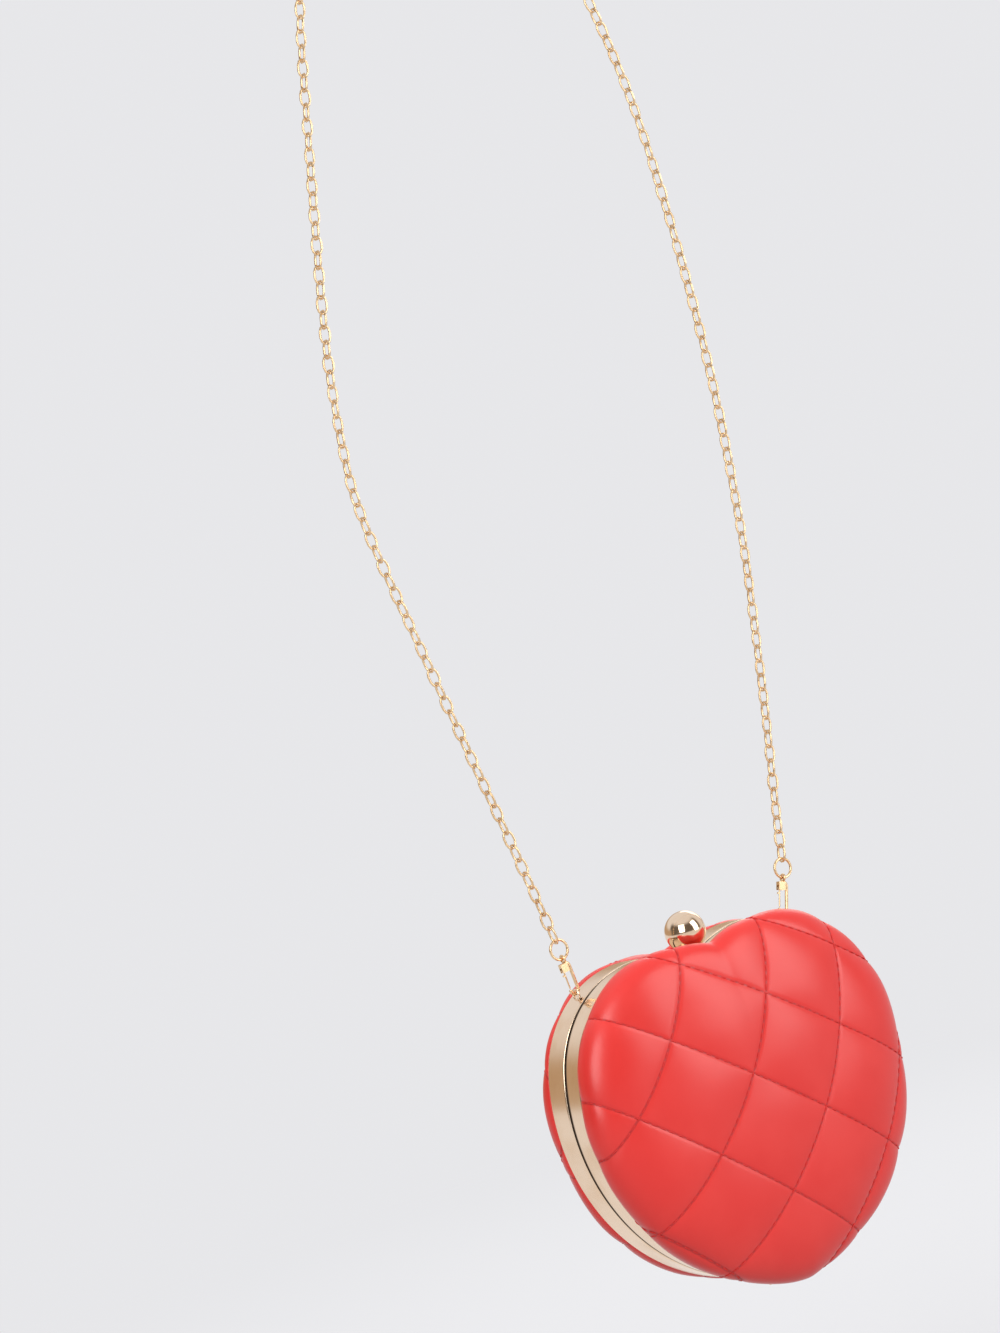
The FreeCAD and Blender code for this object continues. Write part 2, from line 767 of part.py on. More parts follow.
def clasp_lever():
    """Rocking lever under the cleft: bar, barrel, boss for the stem and a nose for the catch."""
    bar_length = tail_reach + catch_front
    bar = block("lever_bar", lever_width, bar_length, lever_wall, nothing, -tail_reach, bar_bottom)
    nose = wedge("lever_nose", lever_width, nose_reach - catch_front, bar_bottom, bar_top,
                 pivot_height - lever_wall / 8.0, bar_top, catch_front)
    barrel = cylinder("lever_barrel", barrel_radius, lever_width, -lever_width / 2.0, -clasp_setback,
                      pivot_height, "X")
    boss = cylinder("lever_boss", boss_radius, boss_height, nothing, -clasp_setback, pivot_height)
    bore = cylinder("lever_bore", pivot_radius + pin_play, lever_width + overrun * 2.0,
                    -lever_width / 2.0 - overrun, -clasp_setback, pivot_height, "X")
    socket = cylinder("lever_socket", stem_radius, stem_seat + overrun, nothing, -clasp_setback,
                      pivot_height + boss_height - stem_seat)
    finish(cut("lever", fuse("lever_whole", bar, nose, barrel, boss), bore, socket), "clasp_lever")


def clasp_ball():
    """Ball on its stem."""
    stem_low = pivot_height + boss_height - stem_seat
    stem_top = ball_height - ball_radius + stem_seat
    rod("clasp_stem", stem_radius, stem_top - stem_low, "Z", nothing, -clasp_setback, stem_low)
    whole = ball("ball_whole", ball_radius, nothing, -clasp_setback, ball_height)
    socket = cylinder("ball_socket", stem_radius, stem_seat + overrun, nothing, -clasp_setback,
                      stem_top - stem_seat - overrun)
    finish(cut("ball", whole, socket), "clasp_ball")


def clasp_collar():
    """Slotted collar that sits in the cleft round the stem, on the flanks of both lobes."""
    tall = collar_rise + collar_wall
    disc = cylinder("collar_disc", collar_radius, tall, nothing, -clasp_setback, cleft_floor)
    slot = block("collar_slot", slot_half * 2.0, slot_half * 2.0 + stem_travel, tall + overrun * 2.0,
                 nothing, slot_front, cleft_floor - overrun)
    finish(cut("collar", disc, outside_of_bands, slot), "clasp_collar")


def clasp_bracket():
    """Channel under the front band that carries the lever's pin."""
    width = lever_width + (play + bracket_wall) * 2.0
    length = bracket_front - bracket_back
    low = pivot_height - bracket_drop
    whole = block("bracket_block", width, length, cleft_centre - low, nothing, -bracket_front, low)
    channel = block("bracket_channel", lever_width + play * 2.0, length + overrun * 2.0,
                    web_bottom - low + overrun, nothing, -bracket_front - overrun, low - overrun)
    slot = block("bracket_slot", slot_half * 2.0, slot_half * 2.0 + stem_travel, cleft_centre - web_bottom,
                 nothing, slot_front, web_bottom - overrun)
    bore = cylinder("bracket_bore", pivot_radius, width + overrun * 2.0, -width / 2.0 - overrun, -clasp_setback,
                    pivot_height, "X")
    seated = shared("bracket_seated", whole, inside_of_bands)
    finish(cut("bracket", seated, channel, slot, bore), "clasp_bracket")
    rod("clasp_pin", pivot_radius, width, "X", -width / 2.0, -clasp_setback, pivot_height)


def clasp_catch():
    """Catch under the rear band, ramped where the lever's nose meets it."""
    low = bar_top + play
    whole = block("catch_block", lever_width, catch_reach - catch_ramp, cleft_centre - low, nothing,
                  catch_front + catch_ramp, low)
    ramp = wedge("catch_wedge", lever_width, catch_ramp, low + catch_ramp, cleft_centre, low, cleft_centre,
                 catch_front)
    finish(shared("catch", fuse("catch_whole", whole, ramp), inside_of_bands), "clasp_catch")


def clasp_spring():
    """Bent leaf between the bracket's web and the lever's tail."""
    outer = spring_tall / 2.0
    middle = spring_low + outer
    centre = -spring_back
    bend = cylinder("spring_bend", outer, spring_width, -spring_width / 2.0, centre, middle, "X")
    hollow = cylinder("spring_hollow", outer - spring_wall, spring_width + overrun * 2.0,
                      -spring_width / 2.0 - overrun, centre, middle, "X")
    half = block("spring_half", spring_width + overrun * 2.0, outer + overrun, spring_tall + overrun * 2.0,
                 nothing, centre - outer - overrun, spring_low - overrun)
    legs = [block("spring_leg_" + str(number), spring_width, spring_leg, spring_wall, nothing, centre, height)
            for number, height in enumerate((spring_low, web_bottom - spring_wall))]
    arch = shared("spring_arch", cut("spring_tube", bend, hollow), half)
    finish(fuse("spring", arch, *legs), "clasp_spring")


clasp_lever()
clasp_ball()
clasp_collar()
clasp_bracket()
clasp_catch()
clasp_spring()

ear_run = lobe_radius * ear_share
ear_across = lobe_offset + ear_run
ear_climb = (lobe_radius * lobe_radius - ear_run * ear_run).root()
ear_out = ear_across + ear_run / lobe_radius * ear_rise
ear_up = lobe_height + ear_climb + ear_climb / lobe_radius * ear_rise
hook_drop = ear_wire + hook_wire + slack
lean_height = ear_up + ear_radius


def ear(word, side):
    """Loop on the rear band that a hook passes through, on a foot shaped to the band."""
    name = word + "_ear"
    loop = torus(name + "_loop", ear_radius, ear_wire, ear_out * side, ear_depth, ear_up, "-X")
    lean = math.degrees(math.atan2(side * ear_run.value, ear_climb.value))
    start = lobe_radius - foot_radius
    foot = cylinder(name + "_foot", foot_radius, ear_rise + foot_radius,
                    (lobe_offset + ear_run / lobe_radius * start) * side, ear_depth,
                    lobe_height + ear_climb / lobe_radius * start, FreeCAD.Rotation(Vector(0, 1, 0), lean))
    gap = cylinder(name + "_gap", ear_radius, foot_radius * 4.0, ear_out * side - foot_radius * 2.0,
                   ear_depth, ear_up, "X")
    finish(fuse(name + "_whole", loop, cut(name + "_post", foot, gap, outside_of_bands)), name)


pivot_across = -(hook_bend - gate_bar / 2.0)
pivot_rise = hook_bend + hook_spine - gate_eye
eye_rise = hook_bend * 2.0 + hook_spine + hook_neck
ring_rise = eye_rise + eye_radius - eye_wire - ring_wire - slack + ring_radius
chain_rise = ring_rise + ring_radius - ring_wire - link_wire - slack


def leaned_spot(side, lean, rise, across=0.0, depth=0.0):
    """Place up a hook that leans about its ear's upper wire, and to the side of the hook's middle."""
    cosine, sine = math.cos(math.radians(lean)), math.sin(math.radians(lean))
    across = as_size(across)
    above = as_size(rise) - hook_drop
    return (ear_out * side + across * cosine + above * sine, ear_depth + depth,
            lean_height + above * cosine - across * sine)


def hook(word, side, lean):
    """Spring hook with its gate, rivet and jump ring, drawn upright from its lowest bend and then leaned."""
    turn = FreeCAD.Rotation(Vector(0, 1, 0), lean)
    spot = (*leaned_spot(side, lean, nothing), turn)
    name = word + "_hook"
    top = hook_bend + hook_spine
    bend = torus(name + "_bend", hook_bend, hook_wire, nothing, nothing, hook_bend, "Y", 180.0)
    nose = ball(name + "_nose", hook_wire, -hook_bend, nothing, hook_bend)
    spine = cylinder(name + "_spine", hook_wire, hook_spine, hook_bend, nothing, hook_bend)
    crook = torus(name + "_crook", hook_bend, hook_wire, nothing, nothing, top, "-Y", 90.0)
    neck = cylinder(name + "_neck", hook_wire, hook_neck + hook_wire - eye_radius, nothing, nothing,
                    top + hook_bend - hook_wire)
    crown = ball(name + "_crown", hook_wire, nothing, nothing, top + hook_bend)
    eye = torus(name + "_eye", eye_radius, eye_wire, nothing, nothing, eye_rise, "X")
    inside = gate_wall / 2.0 + slack
    outside = inside + cheek_wall
    head_middle = pivot_across + head_width / 2.0 - gate_eye
    head = block(name + "_head", head_width, outside * 2.0, top + hook_bend - pivot_rise + gate_eye,
                 head_middle, -outside, pivot_rise - gate_eye)
    slot = block(name + "_slot", head_width + overrun * 2.0, inside * 2.0, (gate_eye + slack) * 2.0,
                 head_middle - overrun, -inside, pivot_rise - gate_eye - slack)
    bore = cylinder(name + "_bore", rivet_radius, (outside + overrun) * 2.0, pivot_across, -outside - overrun,
                    pivot_rise, "Y")
    finish(cut(name, fuse(name + "_whole", bend, nose, spine, crook, neck, crown, eye, head), slot, bore),
           name, *spot)
    rod(word + "_rivet", rivet_radius, outside * 2.0, "Y",
        *leaned_spot(side, lean, pivot_rise, pivot_across, -outside))
    gate(word, spot)
    ring = torus(word + "_ring", ring_radius, ring_wire, nothing, nothing, nothing, "Y")
    finish(ring, word + "_jump_ring", *leaned_spot(side, lean, ring_rise), turns["Y"])


def gate(word, spot):
    """Gate that closes the hook, on its rivet."""
    name = word + "_gate"
    bar_low = hook_bend + hook_wire + slack + gate_bar
    eye = cylinder(name + "_eye", gate_eye, gate_wall, pivot_across, -gate_wall / 2.0, pivot_rise, "Y")
    bar = cylinder(name + "_bar", gate_bar, pivot_rise - bar_low, pivot_across, nothing, bar_low)
    end = ball(name + "_end", gate_bar, pivot_across, nothing, bar_low)
    thumb = block(name + "_thumb", thumb_reach, gate_wall, gate_bar * 2.0, pivot_across - thumb_reach / 2.0,
                  -gate_wall / 2.0, pivot_rise - gate_eye * 3.0)
    bore = cylinder(name + "_bore", rivet_radius + pin_play, gate_wall + overrun * 2.0, pivot_across,
                    -gate_wall / 2.0 - overrun, pivot_rise, "Y")
    finish(cut(name, fuse(name + "_whole", eye, bar, end, thumb), bore), name, *spot)


for word, side, lean in (("left", -1.0, left_lean), ("right", 1.0, right_lean)):
    ear(word, side)
    hook(word, side, lean)


def link_shape():
    """One oval link of wire with flat facets, in its own XY plane."""
    bend = link_width.value / 2.0 - link_wire.value
    straight = (link_length.value - link_width.value) / 2.0
    per_end = link_sides // 2
    points = []
    for end in (0, 1):
        for number in range(per_end):
            angle = math.pi * (end - 0.5 + number / (per_end - 1.0))
            across = straight if end == 0 else -straight
            points.append(Vector(across + bend * math.cos(angle), bend * math.sin(angle), 0))
    corners = []
    rise = Vector(0, 0, link_wire.value)
    for number, point in enumerate(points):
        before = (point - points[number - 1]).normalize()
        after = (points[(number + 1) % len(points)] - point).normalize()
        along = (before + after).normalize()
        reach = link_wire.value / along.dot(after)
        out = Vector(along.y, -along.x, 0) * reach
        corners.append([point + out, point + rise, point - out, point - rise])
    faces = []
    for number, ring in enumerate(corners):
        following = corners[(number + 1) % len(corners)]
        for edge in range(4):
            other = (edge + 1) % 4
            loop = [ring[edge], following[edge], following[other], ring[other], ring[edge]]
            faces.append(Part.Face(Part.makePolygon(loop)))
    return Part.Solid(Part.Shell(faces))


# Route of the strap on each side, across and up, as shares of the shoulder's height above the tip
left_route_shares = [(-0.098, 0.320), (-0.110, 0.390), (-0.125, 0.484), (-0.137, 0.560), (-0.135, 0.600),
                     (-0.125, 0.667), (-0.093, 0.793), (-0.065, 0.900), (-0.035, 0.955), (0.003, 0.990)]
right_route_shares = [(0.076, 0.988), (0.114, 0.950), (0.144, 0.893), (0.161, 0.820), (0.168, 0.740),
                      (0.165, 0.595), (0.150, 0.476), (0.137, 0.411), (0.123, 0.345), (0.109, 0.286)]
chain_names = ["chain_left", "chain_shoulder", "chain_right"]


def strap_spot(across_share, up_share):
    """Place on the strap's route."""
    return shoulder_height * across_share, strap_depth, shoulder_height * up_share


def chain():
    """Links along the strap's route, each turned a quarter from the one before."""
    points = [leaned_spot(-1.0, left_lean, chain_rise)]
    points += [strap_spot(*shares) for shares in left_route_shares]
    points += [(shoulder_across, strap_depth, shoulder_height)]
    points += [strap_spot(*shares) for shares in right_route_shares]
    points += [leaned_spot(1.0, right_lean, chain_rise)]
    curve = Part.BSplineCurve()
    curve.interpolate([vector(*point) for point in points])
    route = curve.toShape()
    inset = link_length.value / 2.0 - link_wire.value
    pitch_limit = link_length.value - 4.0 * link_wire.value - slack.value
    room = route.Length - 2.0 * inset
    steps = 2 * math.ceil(room / pitch_limit / 2.0)
    pitch = room / steps
    shape = link_shape()
    links = []
    for number in range(steps + 1):
        where = route.getParameterByLength(inset + pitch * number)
        along = route.tangentAt(where)
        flat = Vector(0, 1, 0)
        normal = flat if number % 2 else along.cross(flat)
        link = shape.copy()
        link.Placement = FreeCAD.Placement(route.valueAt(where),
                                           FreeCAD.Rotation(along, normal.cross(along), normal, "XZY"))
        links.append(link)
    print("strap", round(route.Length, 1), "links", len(links), "pitch", round(pitch, 3))
    share = len(links) / len(chain_names)
    for number, name in enumerate(chain_names):
        item = doc.addObject("Part::Feature", name + "_links")
        item.Shape = Part.makeCompound(links[round(number * share):round((number + 1) * share)])
        finish(item, name)


chain()


def check_and_export():
    """Stop on any broken object, then write each node's shape."""
    for name, item, spot, turn in finished:
        place(item, *spot, turn)
    doc.recompute()
    for item in doc.Objects:
        if any(word in item.State for word in ("Invalid", "Error")):
            raise RuntimeError("broken object " + item.Name + " " + str(item.State))
    os.makedirs("parts", exist_ok=True)
    for name, item, spot, turn in finished:
        if item.Shape.isNull() or not item.Shape.isValid():
            raise RuntimeError("bad shape " + name)
        item.Shape.exportStep("parts/" + name + ".step")
        print(name, round(item.Shape.Volume, 1), len(item.Shape.Solids), len(item.Shape.Faces))


check_and_export()
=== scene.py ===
"""Looks of a heart-shaped purse: quilted covers, linings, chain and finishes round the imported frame."""

import logging
import math
from dataclasses import dataclass
from enum import Enum
from typing import Any, Sequence, Union

import bpy
import numpy as np
from mathutils import Matrix, Vector


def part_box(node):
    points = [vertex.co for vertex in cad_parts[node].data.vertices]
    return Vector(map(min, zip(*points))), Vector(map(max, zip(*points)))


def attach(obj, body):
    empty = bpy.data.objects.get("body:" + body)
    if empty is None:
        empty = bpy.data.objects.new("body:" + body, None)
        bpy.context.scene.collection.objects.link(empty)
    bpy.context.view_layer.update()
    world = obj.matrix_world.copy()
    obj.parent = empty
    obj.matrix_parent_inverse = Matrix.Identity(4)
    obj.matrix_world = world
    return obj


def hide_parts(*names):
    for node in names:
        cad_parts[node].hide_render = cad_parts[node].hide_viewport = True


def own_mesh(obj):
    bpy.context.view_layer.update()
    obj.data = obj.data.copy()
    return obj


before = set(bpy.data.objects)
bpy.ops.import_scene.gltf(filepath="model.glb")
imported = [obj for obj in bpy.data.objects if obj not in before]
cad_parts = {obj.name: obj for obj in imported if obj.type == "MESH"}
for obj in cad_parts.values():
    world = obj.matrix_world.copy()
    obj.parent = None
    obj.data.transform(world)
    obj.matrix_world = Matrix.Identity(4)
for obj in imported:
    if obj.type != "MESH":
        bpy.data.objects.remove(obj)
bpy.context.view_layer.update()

LOG = logging.getLogger("heart_purse")
Array = np.ndarray
Colour = tuple[float, float, float, float]
Pair = tuple[float, float]
MM = 0.001

# Least length that a direction is divided by
TINY = 1e-12

# The purse is drawn with its tip at zero, and the shared frame starts where the strap rests on a shoulder
SHOULDER = np.array([0.026, 0.0057, 0.672])

# Places in the row of a seam's point: its position, its normal, its two levels and its own whole level
POSITION = slice(0, 3)
NORMAL = slice(3, 6)
LEVELS = 6
WHOLE = 8

# Endings of the names of the fittings that close the strap at each side
STRAP_ENDS = ("hook", "gate", "rivet", "jump_ring")


class Side(Enum):
    """Half of the purse, by the direction of its depth."""

    FRONT = -1.0
    REAR = 1.0


class Value:
    """Socket of a node tree, whose arithmetic adds Math nodes."""

    def __init__(self, nodes: "Nodes", socket: bpy.types.NodeSocket) -> None:
        """Keep the tree's helper and the socket."""
        self.nodes = nodes
        self.socket = socket

    def maths(self, operation: str, *numbers: "Operand") -> "Value":
        """Add a Math node.

        Args:
            operation: Name of the Math node's operation.
            numbers: Its inputs in order.

        Returns:
            The node's result.
        """
        return self.nodes.node("ShaderNodeMath", {"operation": operation}, dict(enumerate(numbers)))

    def __add__(self, other: "Operand") -> "Value":
        """Sum."""
        return self.maths("ADD", self, other)

    __radd__ = __add__

    def __mul__(self, other: "Operand") -> "Value":
        """Product."""
        return self.maths("MULTIPLY", self, other)

    __rmul__ = __mul__

    def __sub__(self, other: "Operand") -> "Value":
        """Difference."""
        return self.maths("SUBTRACT", self, other)

    def __rsub__(self, other: "Operand") -> "Value":
        """Difference from a number."""
        return self.maths("SUBTRACT", other, self)

    def __abs__(self) -> "Value":
        """Size without sign."""
        return self.maths("ABSOLUTE", self)


Operand = Union[Value, float]


class Nodes:
    """Node tree of one finish, emptied and filled through one method."""

    def __init__(self, tree: bpy.types.NodeTree) -> None:
        """Empty a tree."""
        self.tree = tree
        tree.nodes.clear()

    def node(self, kind: str, settings: dict[str, Any] | None = None, inputs: dict[Any, Any] | None = None,
             output: Any = 0) -> Value | None:
        """Add a node.

        Args:
            kind: Blender's name of the node's type.
            settings: Properties that are set first.
            inputs: Number, colour or Value for each socket, by name or place.
            output: Name or place of the output that is wanted.

        Returns:
            That output, or None for a node that has none.
        """
        made = self.tree.nodes.new(kind)
        for name, setting in (settings or {}).items():
            setattr(made, name, setting)
        for name, given in (inputs or {}).items():
            if isinstance(given, Value):
                self.tree.links.new(given.socket, made.inputs[name])
            else:
                made.inputs[name].default_value = given
        return Value(self, made.outputs[output]) if len(made.outputs) else None

    def mix(self, factor: Operand, first: Any, second: Any) -> Value:
        """Mix two colours.

        Args:
            factor: Share of the second colour.
            first: Colour or Value.
            second: Colour or Value.

        Returns:
            The mixed colour.
        """
        return self.node("ShaderNodeMix", {"data_type": "RGBA"}, {0: factor, 6: first, 7: second}, 2)

    def smooth(self, value: Value, low: float, high: float) -> Value:
        """Smooth rise of a value from 0 at low to 1 at high."""
        return self.node("ShaderNodeMapRange", {"interpolation_type": "SMOOTHSTEP"},
                         {"Value": value, "From Min": low, "From Max": high})

    def place(self) -> Value:
        """Coordinates of the piece in the shared frame."""
        return self.node("ShaderNodeTexCoord", output="Object")

    def part(self, vector: Value, axis: str) -> Value:
        """Coordinate of a vector along an axis, by the axis's letter."""
        return self.node("ShaderNodeSeparateXYZ", inputs={0: vector}, output=axis)

    def own_map(self, name: str) -> tuple[Value, Value]:
        """Both values of a map that the piece carries."""
        spread = self.node("ShaderNodeUVMap", {"uv_map": name})
        return self.part(spread, "X"), self.part(spread, "Y")

    def noise(self, vector: Value, scale: float, detail: float) -> Value:
        """Cloudy values from 0 to 1 at a number of cells in a metre."""
        return self.node("ShaderNodeTexNoise", inputs={"Vector": vector, "Scale": scale, "Detail": detail})

    def streaks(self, cells: Sequence[float], detail: float) -> Value:
        """Cloudy values whose number of cells in a metre differs along each axis."""
        stretched = self.node("ShaderNodeMapping", inputs={"Vector": self.place(), "Scale": cells})
        return self.noise(stretched, 1.0, detail)

    def wave(self, value: Value) -> Value:
        """Sine of a value, moved to between 0 and 1."""
        return value.maths("SINE", value) * 0.5 + 0.5

    def blend(self, cloud: Value, reach: Pair, share: float, first: Colour, second: Colour) -> Value:
        """Two colours, the second rising to a share where a cloud's values pass over a reach."""
        return self.mix(self.smooth(cloud, *reach) * share, first, second)

    def bump(self, height: Value, distance: float, strength: float) -> Value:
        """Normal that follows a height in metres."""
        relief = {"Height": height, "Distance": distance, "Strength": strength}
        return self.node("ShaderNodeBump", inputs=relief)

    def surface(self, **inputs: Any) -> None:
        """End the tree in a Principled shader with these sockets."""
        named = {name.replace("_", " "): given for name, given in inputs.items()}
        shader = self.node("ShaderNodeBsdfPrincipled", inputs=named)
        self.node("ShaderNodeOutputMaterial", inputs={"Surface": shader})


@dataclass(frozen=True)
class Finish:
    """Finish of a piece, made once and shared.

    A noise is given by its cells in a metre and its detail, a relief by its depth and strength, and a dulling
    by what it adds to the roughness.
    """

    name: str

    def paint(self, nodes: Nodes) -> None:
        """Fill the finish's tree."""
        raise NotImplementedError

    def material(self) -> bpy.types.Material:
        """Material of this finish, made at its first use."""
        found = bpy.data.materials.get(self.name)
        if found is None:
            found = bpy.data.materials.new(self.name)
            found.use_nodes = True
            self.paint(Nodes(found.node_tree))
        return found

    def dress(self, piece: bpy.types.Object) -> None:
        """Give a piece this finish alone."""
        piece.data.materials.clear()
        piece.data.materials.append(self.material())


@dataclass(frozen=True)
class QuiltedLeather(Finish):
    """Satin leather-like cover, tighter where the seams pull it in, with painted shade along the seams."""

    lit: Colour = (0.80, 0.030, 0.024, 1.0)
    painted_seam_shade: Colour = (0.40, 0.010, 0.012, 1.0)
    worn: Colour = (0.86, 0.052, 0.042, 1.0)
    worn_reach: Pair = (0.35, 0.75)
    worn_share: float = 0.45
    seam_width: float = 0.022
    seam_shade: float = 0.75
    seam_dulling: float = 0.12
    gloss: float = 0.29
    cloud: Pair = (38.0, 4.0)
    cloud_dulling: float = 0.08
    grain_cells: float = 1250.0
    grain_smoothness: float = 0.6
    grain_dulling: float = 0.05
    grain_share: float = 0.7
    fine: Pair = (2600.0, 2.0)
    relief: Pair = (0.0001, 0.18)
    coat: float = 0.15
    coat_roughness: float = 0.28

    def paint(self, nodes: Nodes) -> None:
        """Seams from the quilt's own map, grain and clouds from the place."""
        place = nodes.place()
        away = [abs(level - level.maths("ROUND", level)) for level in nodes.own_map("quilt")]
        seam = 1.0 - nodes.smooth(away[0].maths("MINIMUM", *away), 0.0, self.seam_width)
        cloud = nodes.noise(place, *self.cloud)
        cells = {"Vector": place, "Scale": self.grain_cells, "Smoothness": self.grain_smoothness}
        grain = nodes.node("ShaderNodeTexVoronoi", {"feature": "SMOOTH_F1"}, cells)
        fine = nodes.noise(place, *self.fine)
        colour = nodes.blend(cloud, self.worn_reach, self.worn_share, self.lit, self.worn)
        # Painted shade: the seams' darker colour stands for the shade in their creases.
        colour = nodes.mix(seam * self.seam_shade, colour, self.painted_seam_shade)
        rough = self.gloss + cloud * self.cloud_dulling + grain * self.grain_dulling
        rough = rough + seam * self.seam_dulling
        height = grain * self.grain_share + fine * (1.0 - self.grain_share)
        nodes.surface(Base_Color=colour, Roughness=rough, Normal=nodes.bump(height, *self.relief),
                      Coat_Weight=self.coat, Coat_Roughness=self.coat_roughness)


@dataclass(frozen=True)
class GoldPlate(Finish):
    """Pale polished gold plate with faint brushing and a little tarnish."""

    bright: Colour = (0.94, 0.73, 0.54, 1.0)
    warm: Colour = (0.83, 0.57, 0.36, 1.0)
    painted_groove_shade: Colour = (0.085, 0.050, 0.026, 1.0)
    polish: float = 0.13
    brushing: float = 0.05
    brush_depth: float = 0.00003
    groove_half: float = 0.0
    groove_edge: Pair = (0.80, 1.25)
    groove_dulling: float = 0.35
    cloud: Pair = (55.0, 5.0)
    cloud_dulling: float = 0.06
    tarnish_reach: Pair = (0.42, 0.72)
    tarnish_share: float = 0.55
    line_cells: tuple[float, float, float] = (900.0, 60.0, 900.0)
    line_detail: float = 2.0
    line_dulling: float = 0.05
    line_share: float = 0.8
    speck: Pair = (900.0, 3.0)
    speck_reach: Pair = (0.62, 0.80)
    speck_dulling: float = 0.08

    def paint(self, nodes: Nodes) -> None:
        """Clouds of tarnish, fine lines along the depth for the brushing, and painted shade with rougher
        metal in the groove.
        """
        place = nodes.place()
        cloud = nodes.noise(place, *self.cloud)
        lines = nodes.streaks(self.line_cells, self.line_detail)
        specks = nodes.smooth(nodes.noise(place, *self.speck), *self.speck_reach)
        colour = nodes.blend(cloud, self.tarnish_reach, self.tarnish_share, self.bright, self.warm)
        rough = self.polish + cloud * self.cloud_dulling + lines * self.line_dulling
        rough = rough + specks * self.speck_dulling
        # Painted shade: a dark strip about the parting plane stands for the shade in the groove between the
        # bands.
        if self.groove_half > 0.0:
            from_groove = abs(nodes.part(place, "Y") + float(SHOULDER[1]))
            edge = [self.groove_half * share for share in self.groove_edge]
            within = 1.0 - nodes.smooth(from_groove, *edge)
            colour = nodes.mix(within, colour, self.painted_groove_shade)
            rough = rough + within * self.groove_dulling
        height = lines * self.line_share + specks * (1.0 - self.line_share)
        nodes.surface(Base_Color=colour, Metallic=1.0, Roughness=rough,
                      Normal=nodes.bump(height, self.brush_depth, self.brushing))


@dataclass(frozen=True)
class SpringSteel(Finish):
    """Blued spring steel."""

    tone: Colour = (0.34, 0.35, 0.38, 1.0)
    heat: Colour = (0.16, 0.17, 0.24, 1.0)
    heat_reach: Pair = (0.4, 0.7)
    cloud: Pair = (240.0, 3.0)
    gloss: float = 0.24
    fine: Pair = (4000.0, 2.0)
    fine_dulling: float = 0.14
    relief: Pair = (0.00002, 0.2)

    def paint(self, nodes: Nodes) -> None:
        """Heat tint in clouds with a fine grain."""
        place = nodes.place()
        fine = nodes.noise(place, *self.fine)
        colour = nodes.blend(nodes.noise(place, *self.cloud), self.heat_reach, 1.0, self.tone, self.heat)
        nodes.surface(Base_Color=colour, Metallic=1.0, Roughness=self.gloss + fine * self.fine_dulling,
                      Normal=nodes.bump(fine, *self.relief))


@dataclass(frozen=True)
class PressedBoard(Finish):
    """Moulded fibre board under the covers."""

    tone: Colour = (0.42, 0.36, 0.29, 1.0)
    fibre: Colour = (0.27, 0.22, 0.17, 1.0)
    fibre_reach: Pair = (0.4, 0.65)
    strand_cells: tuple[float, float, float] = (300.0, 900.0, 300.0)
    strand_detail: float = 6.0
    gloss: float = 0.82
    fine: Pair = (1800.0, 3.0)
    fine_dulling: float = 0.1
    fine_share: float = 0.5
    relief: Pair = (0.0002, 0.4)

    def paint(self, nodes: Nodes) -> None:
        """Fibres in two scales."""
        strands = nodes.streaks(self.strand_cells, self.strand_detail)
        fine = nodes.noise(nodes.place(), *self.fine)
        colour = nodes.blend(strands, self.fibre_reach, 1.0, self.tone, self.fibre)
        nodes.surface(Base_Color=colour, Roughness=self.gloss + fine * self.fine_dulling,
                      Normal=nodes.bump(strands + fine * self.fine_share, *self.relief))


@dataclass(frozen=True)
class LiningTwill(Finish):
    """Beige twill of the lining, whose threads follow the cloth's own map in metres."""

    light: Colour = (0.66, 0.56, 0.43, 1.0)
    shade: Colour = (0.45, 0.36, 0.26, 1.0)
    thread: float = 0.0007
    rib_shade: float = 0.5
    rib_dulling: float = 0.14
    rib_share: float = 0.7
    cloud: Pair = (70.0, 4.0)
    cloud_shade: float = 0.3
    gloss: float = 0.72
    sheen: float = 0.25
    relief: Pair = (0.00015, 0.5)

    def paint(self, nodes: Nodes) -> None:
        """Diagonal ribs of the twill, crossed by its finer threads."""
        across, along = nodes.own_map("cloth")
        turns = 2.0 * math.pi / self.thread
        ribs = nodes.wave((across + along) * turns)
        weft = nodes.wave(across * (turns * 2.0))
        cloud = nodes.noise(nodes.place(), *self.cloud)
        colour = nodes.mix(ribs * self.rib_shade + cloud * self.cloud_shade, self.shade, self.light)
        height = ribs * self.rib_share + weft * (1.0 - self.rib_share)
        nodes.surface(Base_Color=colour, Roughness=self.gloss + ribs * self.rib_dulling,
                      Sheen_Weight=self.sheen, Normal=nodes.bump(height, *self.relief))


@dataclass(frozen=True)
class SewingThread(Finish):
    """Twisted thread of the seams."""

    tone: Colour = (0.68, 0.022, 0.020, 1.0)
    pale: Colour = (0.80, 0.036, 0.030, 1.0)
    pale_reach: Pair = (0.35, 0.7)
    gloss: float = 0.55
    fibre: Pair = (3200.0, 3.0)
    fibre_dulling: float = 0.2
    relief: Pair = (0.0001, 0.4)

    def paint(self, nodes: Nodes) -> None:
        """Fibres of the twist."""
        fibres = nodes.noise(nodes.place(), *self.fibre)
        colour = nodes.blend(fibres, self.pale_reach, 1.0, self.tone, self.pale)
        nodes.surface(Base_Color=colour, Roughness=self.gloss + fibres * self.fibre_dulling,
                      Normal=nodes.bump(fibres, *self.relief))


LEATHER = QuiltedLeather("quilted_leather")
GOLD = GoldPlate("gold_plate")
